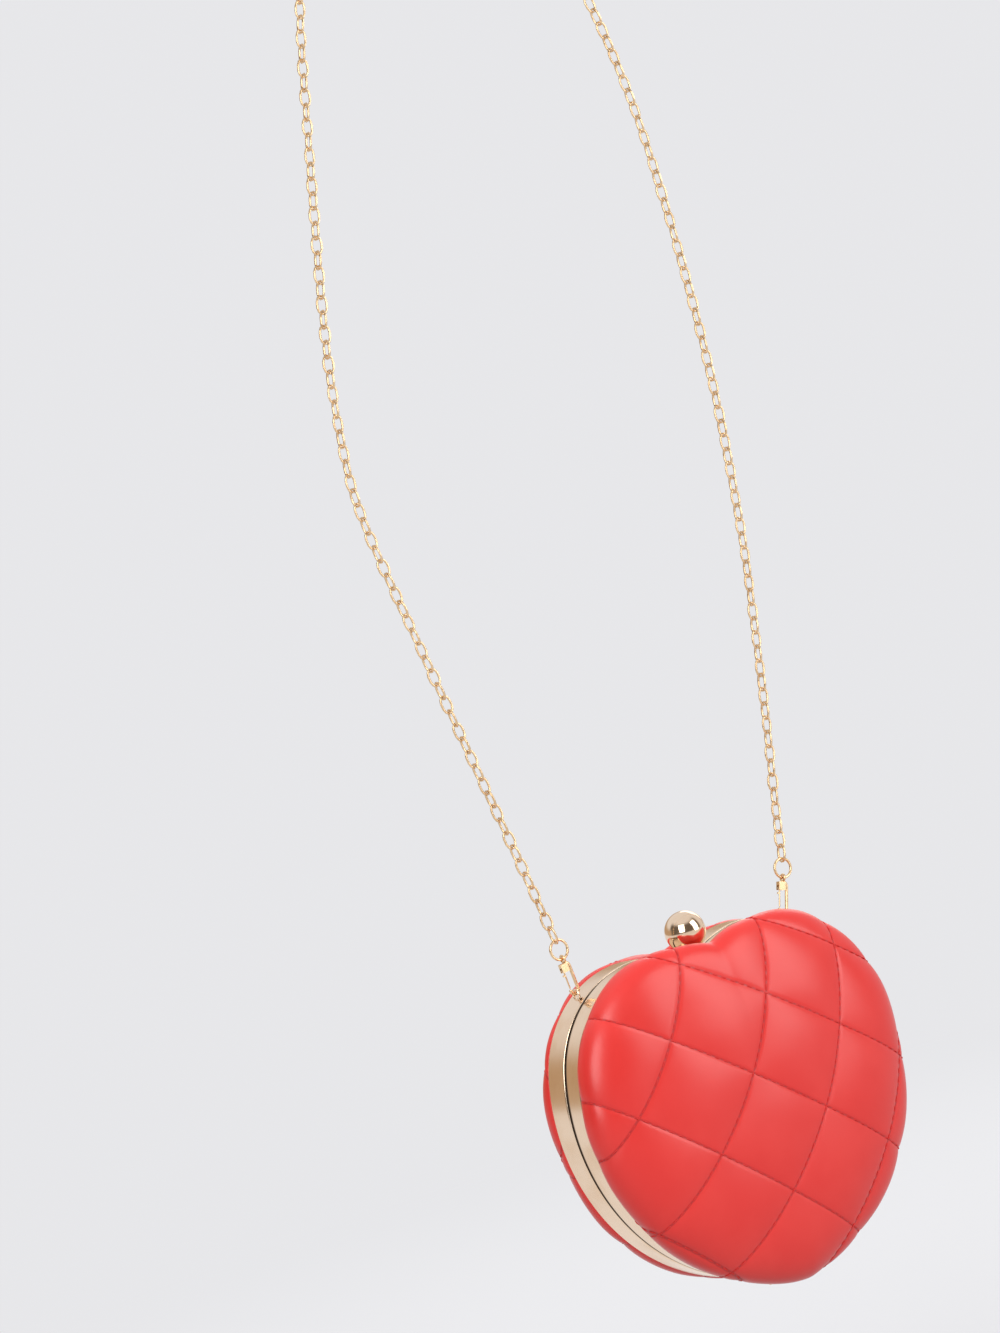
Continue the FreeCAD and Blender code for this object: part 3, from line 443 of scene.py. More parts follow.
# Both bands carry painted groove shade; the front one over a wider strip across its rounded edge.
REAR_BAND_GOLD = GoldPlate("rear_band_gold", groove_half=0.0006)
FRONT_BAND_GOLD = GoldPlate("front_band_gold", groove_half=0.0018)
BALL_GOLD = GoldPlate("ball_gold", polish=0.06, brushing=0.03)
CHAIN_GOLD = GoldPlate("chain_gold", bright=(0.86, 0.62, 0.37, 1.0), warm=(0.74, 0.48, 0.24, 1.0),
                       polish=0.15)
STEEL = SpringSteel("spring_steel_blue")
BOARD = PressedBoard("pressed_board")
TWILL = LiningTwill("lining_twill")
THREAD = SewingThread("sewing_thread")


def make_piece(name: str, points: Array, faces: Sequence[Array], maps: dict[str, Array] | None = None
               ) -> bpy.types.Object:
    """Make a smooth mesh object.

    Args:
        name: Name of the piece.
        points: Its corners, one row each, in the shared frame.
        faces: Arrays of corner numbers, one row for each face.
        maps: Two values for each corner, by the name of the map that carries them.

    Returns:
        The linked object, at the origin.
    """
    mesh = bpy.data.meshes.new(name)
    rows = [row for block in faces for row in block.tolist()]
    mesh.from_pydata(points.tolist(), [], rows)
    mesh.polygons.foreach_set("use_smooth", np.ones(len(mesh.polygons), bool))
    for label, values in (maps or {}).items():
        layer = mesh.uv_layers.new(name=label)
        corner = np.zeros(len(mesh.loops), np.int32)
        mesh.loops.foreach_get("vertex_index", corner)
        layer.data.foreach_set("uv", values[corner].astype(np.float32).ravel())
    mesh.update()
    made = bpy.data.objects.new(name, mesh)
    bpy.context.scene.collection.objects.link(made)
    return made


def strip_faces(rows: int, columns: int, start: int = 0) -> Array:
    """Faces of a grid that closes on itself across its columns.

    Args:
        rows: Number of rows.
        columns: Number of columns.
        start: Number of the grid's first corner.

    Returns:
        Four corner numbers for each face, anticlockwise where rows climb inwards on a loop that turns so.
    """
    index = start + np.arange(rows * columns).reshape(rows, columns)
    following = np.roll(index, -1, axis=1)
    return np.stack([index[:-1], following[:-1], following[1:], index[1:]], axis=-1).reshape(-1, 4)


def repeated(faces: Array, count: int, corners: int) -> Array:
    """Faces of a number of equal shapes, each of which has so many corners."""
    shift = (np.arange(count) * corners)[:, None, None]
    return (faces[None] + shift).reshape(-1, faces.shape[1])


def unit(rows: Array) -> Array:
    """Rows brought to a length of 1."""
    return rows / np.linalg.norm(rows, axis=-1, keepdims=True)


def running(steps: Array) -> Array:
    """Distance of each point from the first, from the steps between them."""
    return np.concatenate([[0.0], np.cumsum(steps)])


def read_along(spots: Array, length: Array, rows: Array) -> Array:
    """Rows of values, read at spots along a line whose points have these lengths from its start."""
    return np.stack([np.interp(spots, length, column) for column in rows.T], axis=-1)


def round_angles(count: int) -> Array:
    """Even angles of one full turn."""
    return np.arange(count) / count * 2.0 * math.pi


def smoothstep(low: float, high: float, value: Array) -> Array:
    """Smooth rise from 0 at low to 1 at high: 3t squared less 2t cubed."""
    share = np.clip((value - low) / (high - low), 0.0, 1.0)
    return share * share * (3.0 - 2.0 * share)


@dataclass(frozen=True)
class HeartOutline:
    """Heart of tangent arcs in the plane of the bands: tip, sides, lobes and cleft."""

    lobe: float = 0.051
    offset: float = 0.030
    height: float = 0.102
    tip: float = 0.014
    cleft: float = 0.005
    tip_half_share: float = 0.108
    crown: float = 0.084
    breaks: tuple[float, ...] = (0.0, 0.02, 0.44, 0.985, 1.0)

    def points(self, turn: Array, wall: Any = 0.0, merge: Any = 0.0, scale: Any = 1.0
               ) -> tuple[Array, Array]:
        """Points of the outline, set in by a wall, with its lobes merged, scaled about the crown.

        Each half runs from the tip to the cleft through four arcs, and every arc takes a fixed share of it.
        A point is an arc's centre plus its radius times the cosine and sine of its angle. The side arc
        touches the tip arc at a given angle and the lobe from outside, which gives its radius.

        Args:
            turn: Share of the way round, from 0 at the tip.
            wall: Width by which the outline is set in.
            merge: Share of the lobes' offset by which they move together.
            scale: Scale about the crown's height.

        Returns:
            Places across and heights.
        """
        move = self.offset * merge
        lobe = self.lobe - wall + move
        offset = self.offset - move
        height = self.height - move
        tip = self.tip - wall
        cleft = self.cleft + wall
        sine = self.tip_half_share
        cosine = math.sqrt(1.0 - sine * sine)
        rise = height - self.tip
        more = tip - lobe
        reach = (offset ** 2 + rise ** 2 - more ** 2) / 2.0 / (more - offset * sine + rise * cosine)
        side_across = -reach * sine
        side_height = self.tip + reach * cosine
        low = -math.acos(sine)
        top = np.arctan2(height - side_height, offset - side_across)
        climb = np.sqrt((lobe + cleft) ** 2 - offset ** 2)
        dip = np.arctan2(climb, -offset)
        arcs = (
            (0.0, self.tip, tip, -math.pi / 2.0, low),
            (side_across, side_height, reach + tip, low, top),
            (offset, height, lobe, top, dip),
            (0.0, height + climb, cleft, dip - math.pi, -math.pi / 2.0),
        )
        half = 1.0 - np.abs(1.0 - 2.0 * turn)
        across: Any = 0.0
        up: Any = 0.0
        for first, last, (middle, level, radius, start, end) in zip(self.breaks, self.breaks[1:], arcs):
            local = (half - first) / (last - first)
            angle = start + (end - start) * np.clip(local, 0.0, 1.0)
            here = (local > 0.0) & (local <= 1.0) | (local == 0.0) & (first == 0.0)
            across = np.where(here, middle + radius * np.cos(angle), across)
            up = np.where(here, level + radius * np.sin(angle), up)
        across = across * np.where(turn > 0.5, -1.0, 1.0)
        return across * scale, self.crown + (up - self.crown) * scale


HEART = HeartOutline()


@dataclass(frozen=True)
class Bowl:
    """Puffed half: hearts that shrink along a rounded section as they rise from the band."""

    side: Side
    depth: float
    band_reach: float = 0.0114
    bulge_share: float = 0.045
    roundness_share: float = 0.82
    merge_share: float = 0.6
    half_width: float = 0.081
    fine_steps: int = 801

    def section(self, share: Array) -> tuple[Array, Array]:
        """Section of the bowl at shares of its angle.

        The angle runs from just under the widest place to the crown. The outline's scale is the cosine and
        the share of the depth is the sine, each to the power of the roundness.

        Args:
            share: Share of the angle, 0 at the band and 1 at the crown.

        Returns:
            Scale of the outline and share of the depth.
        """
        start = -math.acos((1.0 / (1.0 + self.bulge_share)) ** (1.0 / self.roundness_share))
        low = math.sin(-start) ** self.roundness_share
        turned = start + (math.pi / 2.0 - start) * share
        sine = np.sin(turned)
        climb = np.sign(sine) * np.abs(sine) ** self.roundness_share
        scale = np.clip(np.cos(turned), 0.0, 1.0) ** self.roundness_share * (1.0 + self.bulge_share)
        return scale, (climb + low) / (1.0 + low)

    def even_shares(self, rows: int) -> tuple[Array, Array]:
        """Shares of the angle that lie evenly along the surface, and their distance from the band."""
        fine = np.linspace(0.0, 1.0, self.fine_steps)
        scale, share = self.section(fine)
        step = np.hypot(np.diff(scale) * self.half_width, np.diff(share) * self.depth)
        length = running(step)
        run = np.linspace(0.0, length[-1], rows)
        return np.interp(run, length, fine), run

    def grid(self, columns: int, rows: int, wall: float) -> tuple[Array, Array, Array]:
        """Surface of the bowl, set in by a wall.

        Args:
            columns: Points round the heart.
            rows: Points from the band to the crown, the last row all at the crown.
            wall: Width by which it is set in.

        Returns:
            Points in the shared frame, the same places spread flat without the overhang at the band, measured
            from the crown, and each row's distance from the band.
        """
        turn = np.arange(columns)[None, :] / columns
        shares, run = self.even_shares(rows)
        scale, share = self.section(shares[:, None])
        merge = self.merge_share * share
        across, up = HEART.points(turn, wall, merge, scale)
        depth = self.side.value * (self.band_reach + (self.depth - wall) * share) + 0.0 * across
        points = np.stack([across, depth, up], axis=-1) - SHOULDER
        widest = np.argmax(scale[:, 0])
        under = np.arange(rows)[:, None] < widest
        spread = np.where(under, 2.0 * scale[widest] - scale, scale)
        flat_across, flat_up = HEART.points(turn, wall, merge, spread)
        return points, np.stack([flat_across, flat_up - HEART.crown], axis=-1), run


def grid_normals(points: Array, outward: float) -> Array:
    """Unit normals of a grid that closes across its columns: the cross product of its two directions."""
    around = np.roll(points, -1, axis=1) - np.roll(points, 1, axis=1)
    along = np.gradient(points, axis=0)
    normal = np.cross(around, along) * outward
    normal[-1] = (0.0, -outward, 0.0)
    size = np.linalg.norm(normal, axis=-1, keepdims=True)
    return normal / np.maximum(size, TINY)


def shell_of(outer: Array, inner: Array, flip: bool) -> tuple[Array, list[Array]]:
    """Closed shell of two bowls that share their columns.

    Args:
        outer: Grid of the outside, from its rim to its crown.
        inner: Grid of the inside, likewise.
        flip: Whether the faces turn the other way.

    Returns:
        Corners and arrays of faces; each bowl's last row becomes one corner.
    """
    columns = outer.shape[1]
    corners: list[Array] = []
    faces: list[Array] = []
    start = 0
    rims: list[Array] = []
    ring = np.arange(columns)
    for grid, turned in ((outer, flip), (inner, not flip)):
        rows = len(grid) - 1
        corners += [grid[:-1].reshape(-1, 3), grid[-1:, 0]]
        top = start + rows * columns
        last = top - columns + ring
        fan = np.stack([last, np.roll(last, -1), np.full(columns, top)], axis=-1)
        for block in (strip_faces(rows, columns, start), fan):
            faces.append(block[:, ::-1] if turned else block)
        rims.append(start + ring)
        start = top + 1
    rim = np.stack([rims[1], np.roll(rims[1], -1), np.roll(rims[0], -1), rims[0]], axis=-1)
    faces.append(rim[:, ::-1] if flip else rim)
    return np.concatenate(corners), faces


@dataclass
class QuiltedCover:
    """Padded cover of one half, sewn in a curved diamond pattern, with its stitches."""

    bowl: Bowl
    node: str
    body: str
    columns: int = 600
    rows: int = 128
    inner_rows: int = 12
    setback: float = 0.0003
    padding: float = 0.0040
    puff: float = 0.0012
    puff_power: float = 2.5
    puff_rest: float = 0.55
    crease: float = 0.00028
    crease_width: float = 0.0009
    cell: float = 0.038
    calm_edge: float = 0.006
    wave_depth: float = 0.00022
    wave_turns: Pair = (61.0, 53.0)
    wave_starts: Pair = (1.3, 0.4)
    slant_turns: Pair = (127.0, -88.0)
    slant_share: float = 0.6
    stitch_pitch: float = 0.0044
    stitch_length: float = 0.0034
    stitch_radius: float = 0.00026
    stitch_sides: int = 5
    stitch_stations: tuple[float, ...] = (-1.0, -0.72, 0.0, 0.72, 1.0)
    stitch_fullness: tuple[float, ...] = (0.35, 0.9, 1.0, 0.9, 0.35)
    stitch_rise: float = 0.9
    stitch_dip: float = 1.4
    fewest_stitches: int = 2
    pattern_unit: float = 0.1
    falling: tuple[float, ...] = (2.07, -1.63, -2.05, -0.01, -0.13, -0.31)
    rising: tuple[float, ...] = (2.26, 1.84, -1.51, 0.29, 0.50, 0.44)

    def seam_levels(self, flat: Array) -> Array:
        """Levels of the two families of seams, which lie where a level is a whole number.

        Each level is a constant plus slopes and bends: a + b p + c q + d p p + e p q + f q q, with p across
        and q up from the crown in tenths of a metre. The rear half has the same pattern seen from behind.

        Args:
            flat: Places across and up from the crown.

        Returns:
            Level of the falling family and of the rising one.
        """
        across = -self.bowl.side.value * flat[..., 0] / self.pattern_unit
        up = flat[..., 1] / self.pattern_unit
        terms = np.stack([np.ones_like(up), across, up, across * across, across * up, up * up], axis=-1)
        return np.stack([terms @ np.array(self.falling), terms @ np.array(self.rising)], axis=-1)

    def padded_grid(self) -> tuple[Array, Array, Array]:
        """Outside of the cover with its puffs and creases.

        The surface moves along its normal by a pillow, the product over both families of 1 less (1 less the
        share of the way to the middle of the cell) to a power, less a narrow bell-shaped crease at each seam,
        and by long waves of sines that stand for handwork. All of it dies out at the band.

        Returns:
            Points, their normals and their seam levels.
        """
        points, flat, run = self.bowl.grid(self.columns, self.rows, self.setback)
        levels = self.seam_levels(flat)
        away = np.abs(levels - np.round(levels))
        pillow = (1.0 - (1.0 - 2.0 * away) ** self.puff_power).prod(axis=-1)
        crease = np.exp(-(away * self.cell / self.crease_width) ** 2).max(axis=-1)
        waves = np.sin(flat * self.wave_turns + self.wave_starts).prod(axis=-1)
        waves = waves + self.slant_share * np.sin((flat * self.slant_turns).sum(axis=-1))
        calm = smoothstep(0.0, self.calm_edge, run)[:, None]
        puff = self.puff * (pillow - self.puff_rest)
        move = calm * (puff - self.crease * crease + self.wave_depth * waves)
        outward = -self.bowl.side.value
        normals = grid_normals(points, outward)
        points = points + normals * move[..., None]
        points[-1] = points[-1].mean(axis=0)
        return points, grid_normals(points, outward), levels

    def build(self) -> list[bpy.types.Object]:
        """Make the cover and its stitches, and let them ride on their half.

        Returns:
            Both pieces.
        """
        points, normals, levels = self.padded_grid()
        inner, inner_flat, _ = self.bowl.grid(self.columns, self.inner_rows, self.setback + self.padding)
        corners, faces = shell_of(points, inner, self.bowl.side is Side.REAR)
        spread = []
        for level in (levels, self.seam_levels(inner_flat)):
            spread += [level[:-1].reshape(-1, 2), level[-1:, 0]]
        cover = make_piece(self.node + "_quilt", corners, faces, {"quilt": np.concatenate(spread)})
        LEATHER.dress(cover)
        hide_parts(self.node)
        stitches = self.sew(points, normals, levels)
        for piece in (cover, stitches):
            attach(piece, self.body)
        return [cover, stitches]

    def seam_runs(self, points: Array, normals: Array, levels: Array, family: int) -> list[Array]:
        """Seams of one family, found where its level passes a whole number between neighbours on the grid.

        Args:
            points: Grid of the outside.
            normals: Its normals.
            levels: Its seam levels.
            family: Place of the family in the levels.

        Returns:
            For each seam, its points and normals side by side, in order along the other family's level.
        """
        own, other = LEVELS + family, LEVELS + 1 - family
        rows = np.concatenate([points, normals, levels], axis=-1)
        found = []
        for first, second in ((rows[1:-1], np.roll(rows, -1, axis=1)[1:-1]), (rows[1:-2], rows[2:-1])):
            low, high = np.floor(first[..., own]), np.floor(second[..., own])
            crossed = low != high
            first, second = first[crossed], second[crossed]
            whole = np.maximum(low, high)[crossed]
            share = (whole - first[:, own]) / (second[:, own] - first[:, own])
            between = first + (second - first) * share[:, None]
            found.append(np.column_stack([between, whole]))
        every = np.concatenate(found)
        runs = []
        for whole in np.unique(every[:, WHOLE]):
            seam = every[every[:, WHOLE] == whole]
            runs.append(seam[np.argsort(seam[:, other])][:, :LEVELS])
        return runs

    def sew(self, points: Array, normals: Array, levels: Array) -> bpy.types.Object:
        """Lay stitches along every seam.

        A stitch is a thread carried along a short arch: in radii, its height above the leather is the rise
        less the dip times the square of the share from its middle, so its ends go into the leather.

        Args:
            points: Grid of the outside.
            normals: Its normals.
            levels: Its seam levels.

        Returns:
            All stitches of the cover as one piece.
        """
        centres, alongs, ups = [], [], []
        half = self.stitch_length / 2.0
        seams = [seam for family in (0, 1) for seam in self.seam_runs(points, normals, levels, family)]
        for seam in seams:
            length = running(np.linalg.norm(np.diff(seam[:, POSITION], axis=0), axis=1))
            count = int(length[-1] / self.stitch_pitch) - 1
            if count < self.fewest_stitches:
                continue
            middle = (np.arange(count) + 1.0) * self.stitch_pitch
            start, at, end = (read_along(middle + shift, length, seam) for shift in (-half, 0.0, half))
            centres.append(at[:, POSITION])
            alongs.append(unit(end[:, POSITION] - start[:, POSITION]))
            ups.append(at[:, NORMAL])
        centre, along, up = (np.concatenate(rows) for rows in (centres, alongs, ups))
        up = unit(up - along * (up * along).sum(axis=1, keepdims=True))
        station = np.array(self.stitch_stations)[:, None]
        thick = np.array(self.stitch_fullness)[:, None]
        turn = round_angles(self.stitch_sides)
        arch = self.stitch_rise - self.stitch_dip * station ** 2 + thick * np.sin(turn)
        width = thick * np.cos(turn)
        sizes = (station * half + 0.0 * width, width * self.stitch_radius, arch * self.stitch_radius)
        stitch = centre[:, None, None]
        for way, size in zip((along, np.cross(along, up), up), sizes):
            stitch = stitch + way[:, None, None] * size[None, ..., None]
        corners = width.size
        ring = np.arange(self.stitch_sides)
        tube = repeated(strip_faces(*width.shape)[:, ::-1], len(centre), corners)
        caps = repeated(np.stack([ring, corners - 1 - ring]), len(centre), corners)
        sewn = make_piece(self.node + "_stitches", stitch.reshape(-1, 3), [tube, caps])
        THREAD.dress(sewn)
        LOG.info("%s has %d stitches", sewn.name, len(centre))
        return sewn


@dataclass
class SmoothBand:
    """Gold band of one half: a rounded section carried round the heart, with a slot for the clasp's stem."""

    side: Side
    node: str
    body: str
    reach: float
    step_wall: float
    step_reach: float
    slot: Pair | None = None
    slot_half: float = 0.0018
    groove_half: float = 0.0006
    wall: float = 0.00295
    edge: float = 0.0007
    support: float = 0.00015
    arc_steps: int = 6
    columns: int = 960
    sharp_angle: float = 35.0

    def section(self) -> Array:
        """Closed section of the band, as widths in from the outline and depths from the parting plane.

        Each outer edge is a quarter circle, with a point close to each of its ends so that the flats stay
        flat. Inside, a step or a lip leads from the wall to the groove. The slot, where there is one, adds a
        point at each of its ends outside and inside.

        Returns:
            Width and depth of each corner, starting at the groove.
        """
        turned = np.linspace(0.0, math.pi / 2.0, self.arc_steps + 1)
        sine, cosine = self.edge * np.sin(turned), self.edge * np.cos(turned)
        near = np.stack([self.edge - sine, self.groove_half + self.edge - cosine], axis=-1)
        far = np.stack([self.edge - cosine, self.reach - self.edge + sine], axis=-1)
        ends = sorted(self.slot or ())
        outside = [(0.0, end) for end in (near[-1, 1] + self.support, *ends, far[0, 1] - self.support)]
        flat = [(self.edge + self.support, self.reach), (self.wall, self.reach)]
        inside = [(self.wall, end) for end in (*reversed(ends), self.step_reach)]
        step = [(self.step_wall, end) for end in (self.step_reach, self.groove_half)]
        back = [(self.edge + self.support, self.groove_half)]
        return np.vstack([near, outside, far, flat + inside + step + back])

    def build(self) -> bpy.types.Object:
        """Make the band and let it ride on its half.

        Returns:
            The band.
        """
        section = self.section()
        rows = len(section)
        turn = np.arange(self.columns)[None, :] / self.columns
        across, up = HEART.points(turn, section[:, :1])
        depth = self.side.value * section[:, 1:] + 0.0 * across
        points = np.stack([across, depth, up], axis=-1) - SHOULDER
        index = np.arange(rows * self.columns).reshape(rows, self.columns)
        after = np.roll(index, -1, axis=0)
        quads = np.stack([index, after, np.roll(after, -1, axis=1), np.roll(index, -1, axis=1)], axis=-1)
        blocks = [quads.reshape(-1, 4)]
        if self.slot:
            blocks = self.cut_slot(quads, index, section, across)
        turned = self.side is Side.FRONT
        faces = [block[:, ::-1] if turned else block for block in blocks]
        band = make_piece(self.node + "_smooth", points.reshape(-1, 3), faces)
        band.data.set_sharp_from_angle(angle=math.radians(self.sharp_angle))
        finish = FRONT_BAND_GOLD if turned else REAR_BAND_GOLD
        finish.dress(band)
        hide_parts(self.node)
        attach(band, self.body)
        return band

    def cut_slot(self, quads: Array, index: Array, section: Array, across: Array) -> list[Array]:
        """Leave out the faces over the slot at the cleft and line its four walls.

        Args:
            quads: Faces by row and column.
            index: Corner numbers by row and column.
            section: The band's section.
            across: Place of each corner across the purse.

        Returns:
            Arrays of faces.
        """
        low, high = (np.flatnonzero(np.isclose(section[:, 1], end)) for end in sorted(self.slot))
        outer_low, inner_low = low[0], low[-1]
        outer_high, inner_high = high[0], high[-1]
        middle = self.columns // 2
        half = int(np.argmax(np.abs(across[outer_low, middle:]) > self.slot_half))
        columns = np.arange(middle - half, middle + half)
        kept = np.ones(quads.shape[:2], bool)
        kept[np.ix_([outer_low, inner_high], columns)] = False
        walls = [np.stack([index[first, columns], index[second, columns], index[second, columns + 1],
                           index[first, columns + 1]], axis=-1)
                 for first, second in ((outer_low, inner_low), (inner_high, outer_high))]
        loop = [outer_low, outer_high, inner_high, inner_low]
        start, end = columns[0], columns[-1] + 1
        walls.append(np.array([index[loop, start], index[loop[::-1], end]]))
        return [quads[kept], *walls]


@dataclass
class ClothLining:
    """Thin cloth inside one half, down the wall of the band, with a scoop for the clasp at the cleft."""

    bowl: Bowl
    node: str
    body: str
    shell: str
    outer_wall: float = 0.0064
    thickness: float = 0.0007
    skirt: float = 0.0024
    scoop_reach: float = 0.0112
    scoop_width: Pair = (0.0052, 0.0100)
    columns: int = 300
    rows: int = 44
    skirt_rows: int = 10
    pucker: float = 0.00009
    pucker_turns: Pair = (17.0, 29.0)
    pucker_start: float = 1.0
    second_share: float = 0.6
    pucker_rest: float = 1.6
    edge_share: float = 0.2
    map_slant: float = 0.7
    flat: Pair = (0.20, 0.19)
    area: float = 0.0310

    def wall_grid(self, wall: float) -> Array:
        """One face of the cloth: the bowl's surface with straight rows down to its edge.

        The edge lies at the skirt's depth, and falls away to the scoop's reach near the cleft. Long shallow
        puckers move the cloth by sines of the way round.

        Args:
            wall: Width by which this face is set in from the bands' outline.

        Returns:
            Grid from the edge to the crown.
        """
        points, _, run = self.bowl.grid(self.columns, self.rows, wall)
        rim = points[0] + SHOULDER
        cleft = 1.0 - smoothstep(*self.scoop_width, np.abs(rim[:, 0]))
        cleft = cleft * (rim[:, 2] > HEART.crown)
        edge = self.skirt + (self.scoop_reach - self.skirt) * cleft
        share = np.linspace(0.0, 1.0, self.skirt_rows, endpoint=False)[:, None]
        depth = self.bowl.side.value * (edge + (self.bowl.band_reach - edge) * share)
        skirt = np.stack([rim[:, 0] + 0.0 * depth, depth, rim[:, 2] + 0.0 * depth], axis=-1) - SHOULDER
        grid = np.concatenate([skirt, points])
        turn = round_angles(self.columns)
        first, second = self.pucker_turns
        ripple = np.sin(turn * first) + self.second_share * np.sin(turn * second + self.pucker_start)
        fade = 1.0 - smoothstep(0.0, run[-1], run)
        fade = np.concatenate([np.linspace(self.edge_share, 1.0, self.skirt_rows), fade])
        inwards = grid_normals(grid, self.bowl.side.value)
        move = self.pucker * fade[:, None] * (ripple + self.pucker_rest)
        grid = grid + inwards * move[..., None]
        grid[-1] = grid[-1].mean(axis=0)
        return grid

    def build(self) -> bpy.types.Object:
        """Make the lining and let it ride on its half.

        Returns:
            The lining.
        """
        outer = self.wall_grid(self.outer_wall)
        inner = self.wall_grid(self.outer_wall + self.thickness)
        corners, faces = shell_of(outer, inner, self.bowl.side is Side.REAR)
        cloth = corners[:, [0, 2]] + corners[:, [1, 1]] * self.map_slant
        lining = make_piece(self.node + "_cloth", corners, faces, {"cloth": cloth})
        TWILL.dress(lining)
        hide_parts(self.node)
        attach(lining, self.body)
        return lining


@dataclass
class ChainStrap:
    """Cable chain of oval links from hook to hook over the shoulder."""

    link_length: float = 0.0091
    link_width: float = 0.0058
    link_wire: float = 0.00055
    link_fullness: float = 0.86
    links: int = 165
    ring_to_chain: float = 0.00295
    left_lean: float = -5.0
    right_lean: float = 20.0
    path_sides: int = 12
    wire_sides: int = 5
    wobble: float = 9.0
    seed: int = 7
    spline_steps: int = 24
    spline_order: int = 3
    left: tuple[Pair, ...] = (
        (-0.0659, 0.2150), (-0.0739, 0.2621), (-0.0840, 0.3252), (-0.0921, 0.3763), (-0.0907, 0.4032),
        (-0.0840, 0.4482), (-0.0625, 0.5329), (-0.0437, 0.6048), (-0.0235, 0.6418), (0.0020, 0.6653))
    right: tuple[Pair, ...] = (
        (0.0511, 0.6639), (0.0766, 0.6384), (0.0968, 0.6001), (0.1082, 0.5510), (0.1129, 0.4973),
        (0.1109, 0.3998), (0.1008, 0.3199), (0.0921, 0.2762), (0.0827, 0.2318), (0.0732, 0.1922))

    def end(self, word: str, lean: float) -> Array:
        """Place where the chain meets a jump ring: up the leaning ring from its middle."""
        low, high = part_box(word + "_jump_ring")
        turned = math.radians(lean)
        way = np.array([math.sin(turned), 0.0, math.cos(turned)])
        return np.array((low + high) / 2.0) + self.ring_to_chain * way

    def route(self) -> Array:
        """Points along the strap's smooth line.

        The listed points are the control points of a spline, which starts and ends at its own first and
        last points.

        Returns:
            Points read from that spline.
        """
        level = SHOULDER[1]
        spots = [(across, level, up) for across, up in (*self.left, (SHOULDER[0], SHOULDER[2]), *self.right)]
        control = np.vstack([self.end("left", self.left_lean), np.array(spots) - SHOULDER,
                             self.end("right", self.right_lean)])
        curve = bpy.data.curves.new("strap_route", "CURVE")
        curve.dimensions = "3D"
        curve.resolution_u = self.spline_steps
        spline = curve.splines.new("NURBS")
        spline.points.add(len(control) - 1)
        spline.points.foreach_set("co", np.hstack([control, np.ones((len(control), 1))]).ravel())
        spline.order_u = self.spline_order
        spline.use_endpoint_u = True
        holder = bpy.data.objects.new("strap_route", curve)
        bpy.context.scene.collection.objects.link(holder)
        bpy.context.view_layer.update()
        line = bpy.data.meshes.new_from_object(holder.evaluated_get(bpy.context.evaluated_depsgraph_get()))
        points = np.zeros(len(line.vertices) * 3)
        line.vertices.foreach_get("co", points)
        bpy.data.objects.remove(holder)
        bpy.data.curves.remove(curve)
        bpy.data.meshes.remove(line)
        return points.reshape(-1, 3)

    def link(self) -> Array:
        """One link, lying along its first axis and flat across its second.

        Its line is an oval, the cosine and sine to a power under 1 so that it is fuller than an ellipse, and
        a round wire is carried along it.

        Returns:
            Grid of places round the oval and round the wire.
        """
        turn = round_angles(self.path_sides) + math.pi / self.path_sides
        ways = np.stack([np.cos(turn), np.sin(turn)], axis=-1)
        halves = np.array([self.link_length, self.link_width]) / 2.0 - self.link_wire
        oval = halves * np.sign(ways) * np.abs(ways) ** self.link_fullness
        line = np.column_stack([oval, 0.0 * turn])
        along = unit(np.roll(line, -1, axis=0) - np.roll(line, 1, axis=0))
        out = np.stack([along[:, 1], -along[:, 0], 0.0 * turn], axis=-1)
        round_it = round_angles(self.wire_sides)[None, :, None]
        wire = out[:, None] * np.cos(round_it) + np.array([0.0, 0.0, 1.0]) * np.sin(round_it)
        return line[:, None] + wire * self.link_wire

    def build(self) -> bpy.types.Object:
        """Returns:
            The chain.
        """
        route = self.route()
        length = running(np.linalg.norm(np.diff(route, axis=0), axis=1))
        inset = self.link_length / 2.0 - self.link_wire
        spots = np.linspace(inset, length[-1] - inset, self.links)
        start, middle, end = (read_along(spots + shift, length, route) for shift in (-inset, 0.0, inset))
        along = unit(end - start)
        across = unit(np.cross(along, np.array([0.0, 1.0, 0.0])))
        upright = np.cross(across, along)
        random = np.random.default_rng(self.seed)
        lean = np.radians(random.uniform(-self.wobble, self.wobble, self.links))
        lean = (lean + math.pi / 2.0 * (np.arange(self.links) % 2 == 0))[:, None]
        second = across * np.cos(lean) + upright * np.sin(lean)
        turned = np.stack([along, second, np.cross(along, second)], axis=1)
        shape = self.link().reshape(-1, 3)
        corners = middle[:, None] + np.einsum("pk,nkc->npc", shape, turned)
        band = strip_faces(self.path_sides, self.wire_sides)
        index = np.arange(self.wire_sides)
        last = (self.path_sides - 1) * self.wire_sides
        closing = np.stack([last + index, last + np.roll(index, -1), np.roll(index, -1), index], axis=-1)
        quads = repeated(np.concatenate([band, closing])[:, ::-1], self.links, len(shape))
        chain = make_piece("chain_links", corners.reshape(-1, 3), [quads])
        CHAIN_GOLD.dress(chain)
        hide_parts("chain_left", "chain_shoulder", "chain_right")
        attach(chain, "strap")
        LOG.info("strap is %.1f mm long", length[-1] / MM)
        return chain


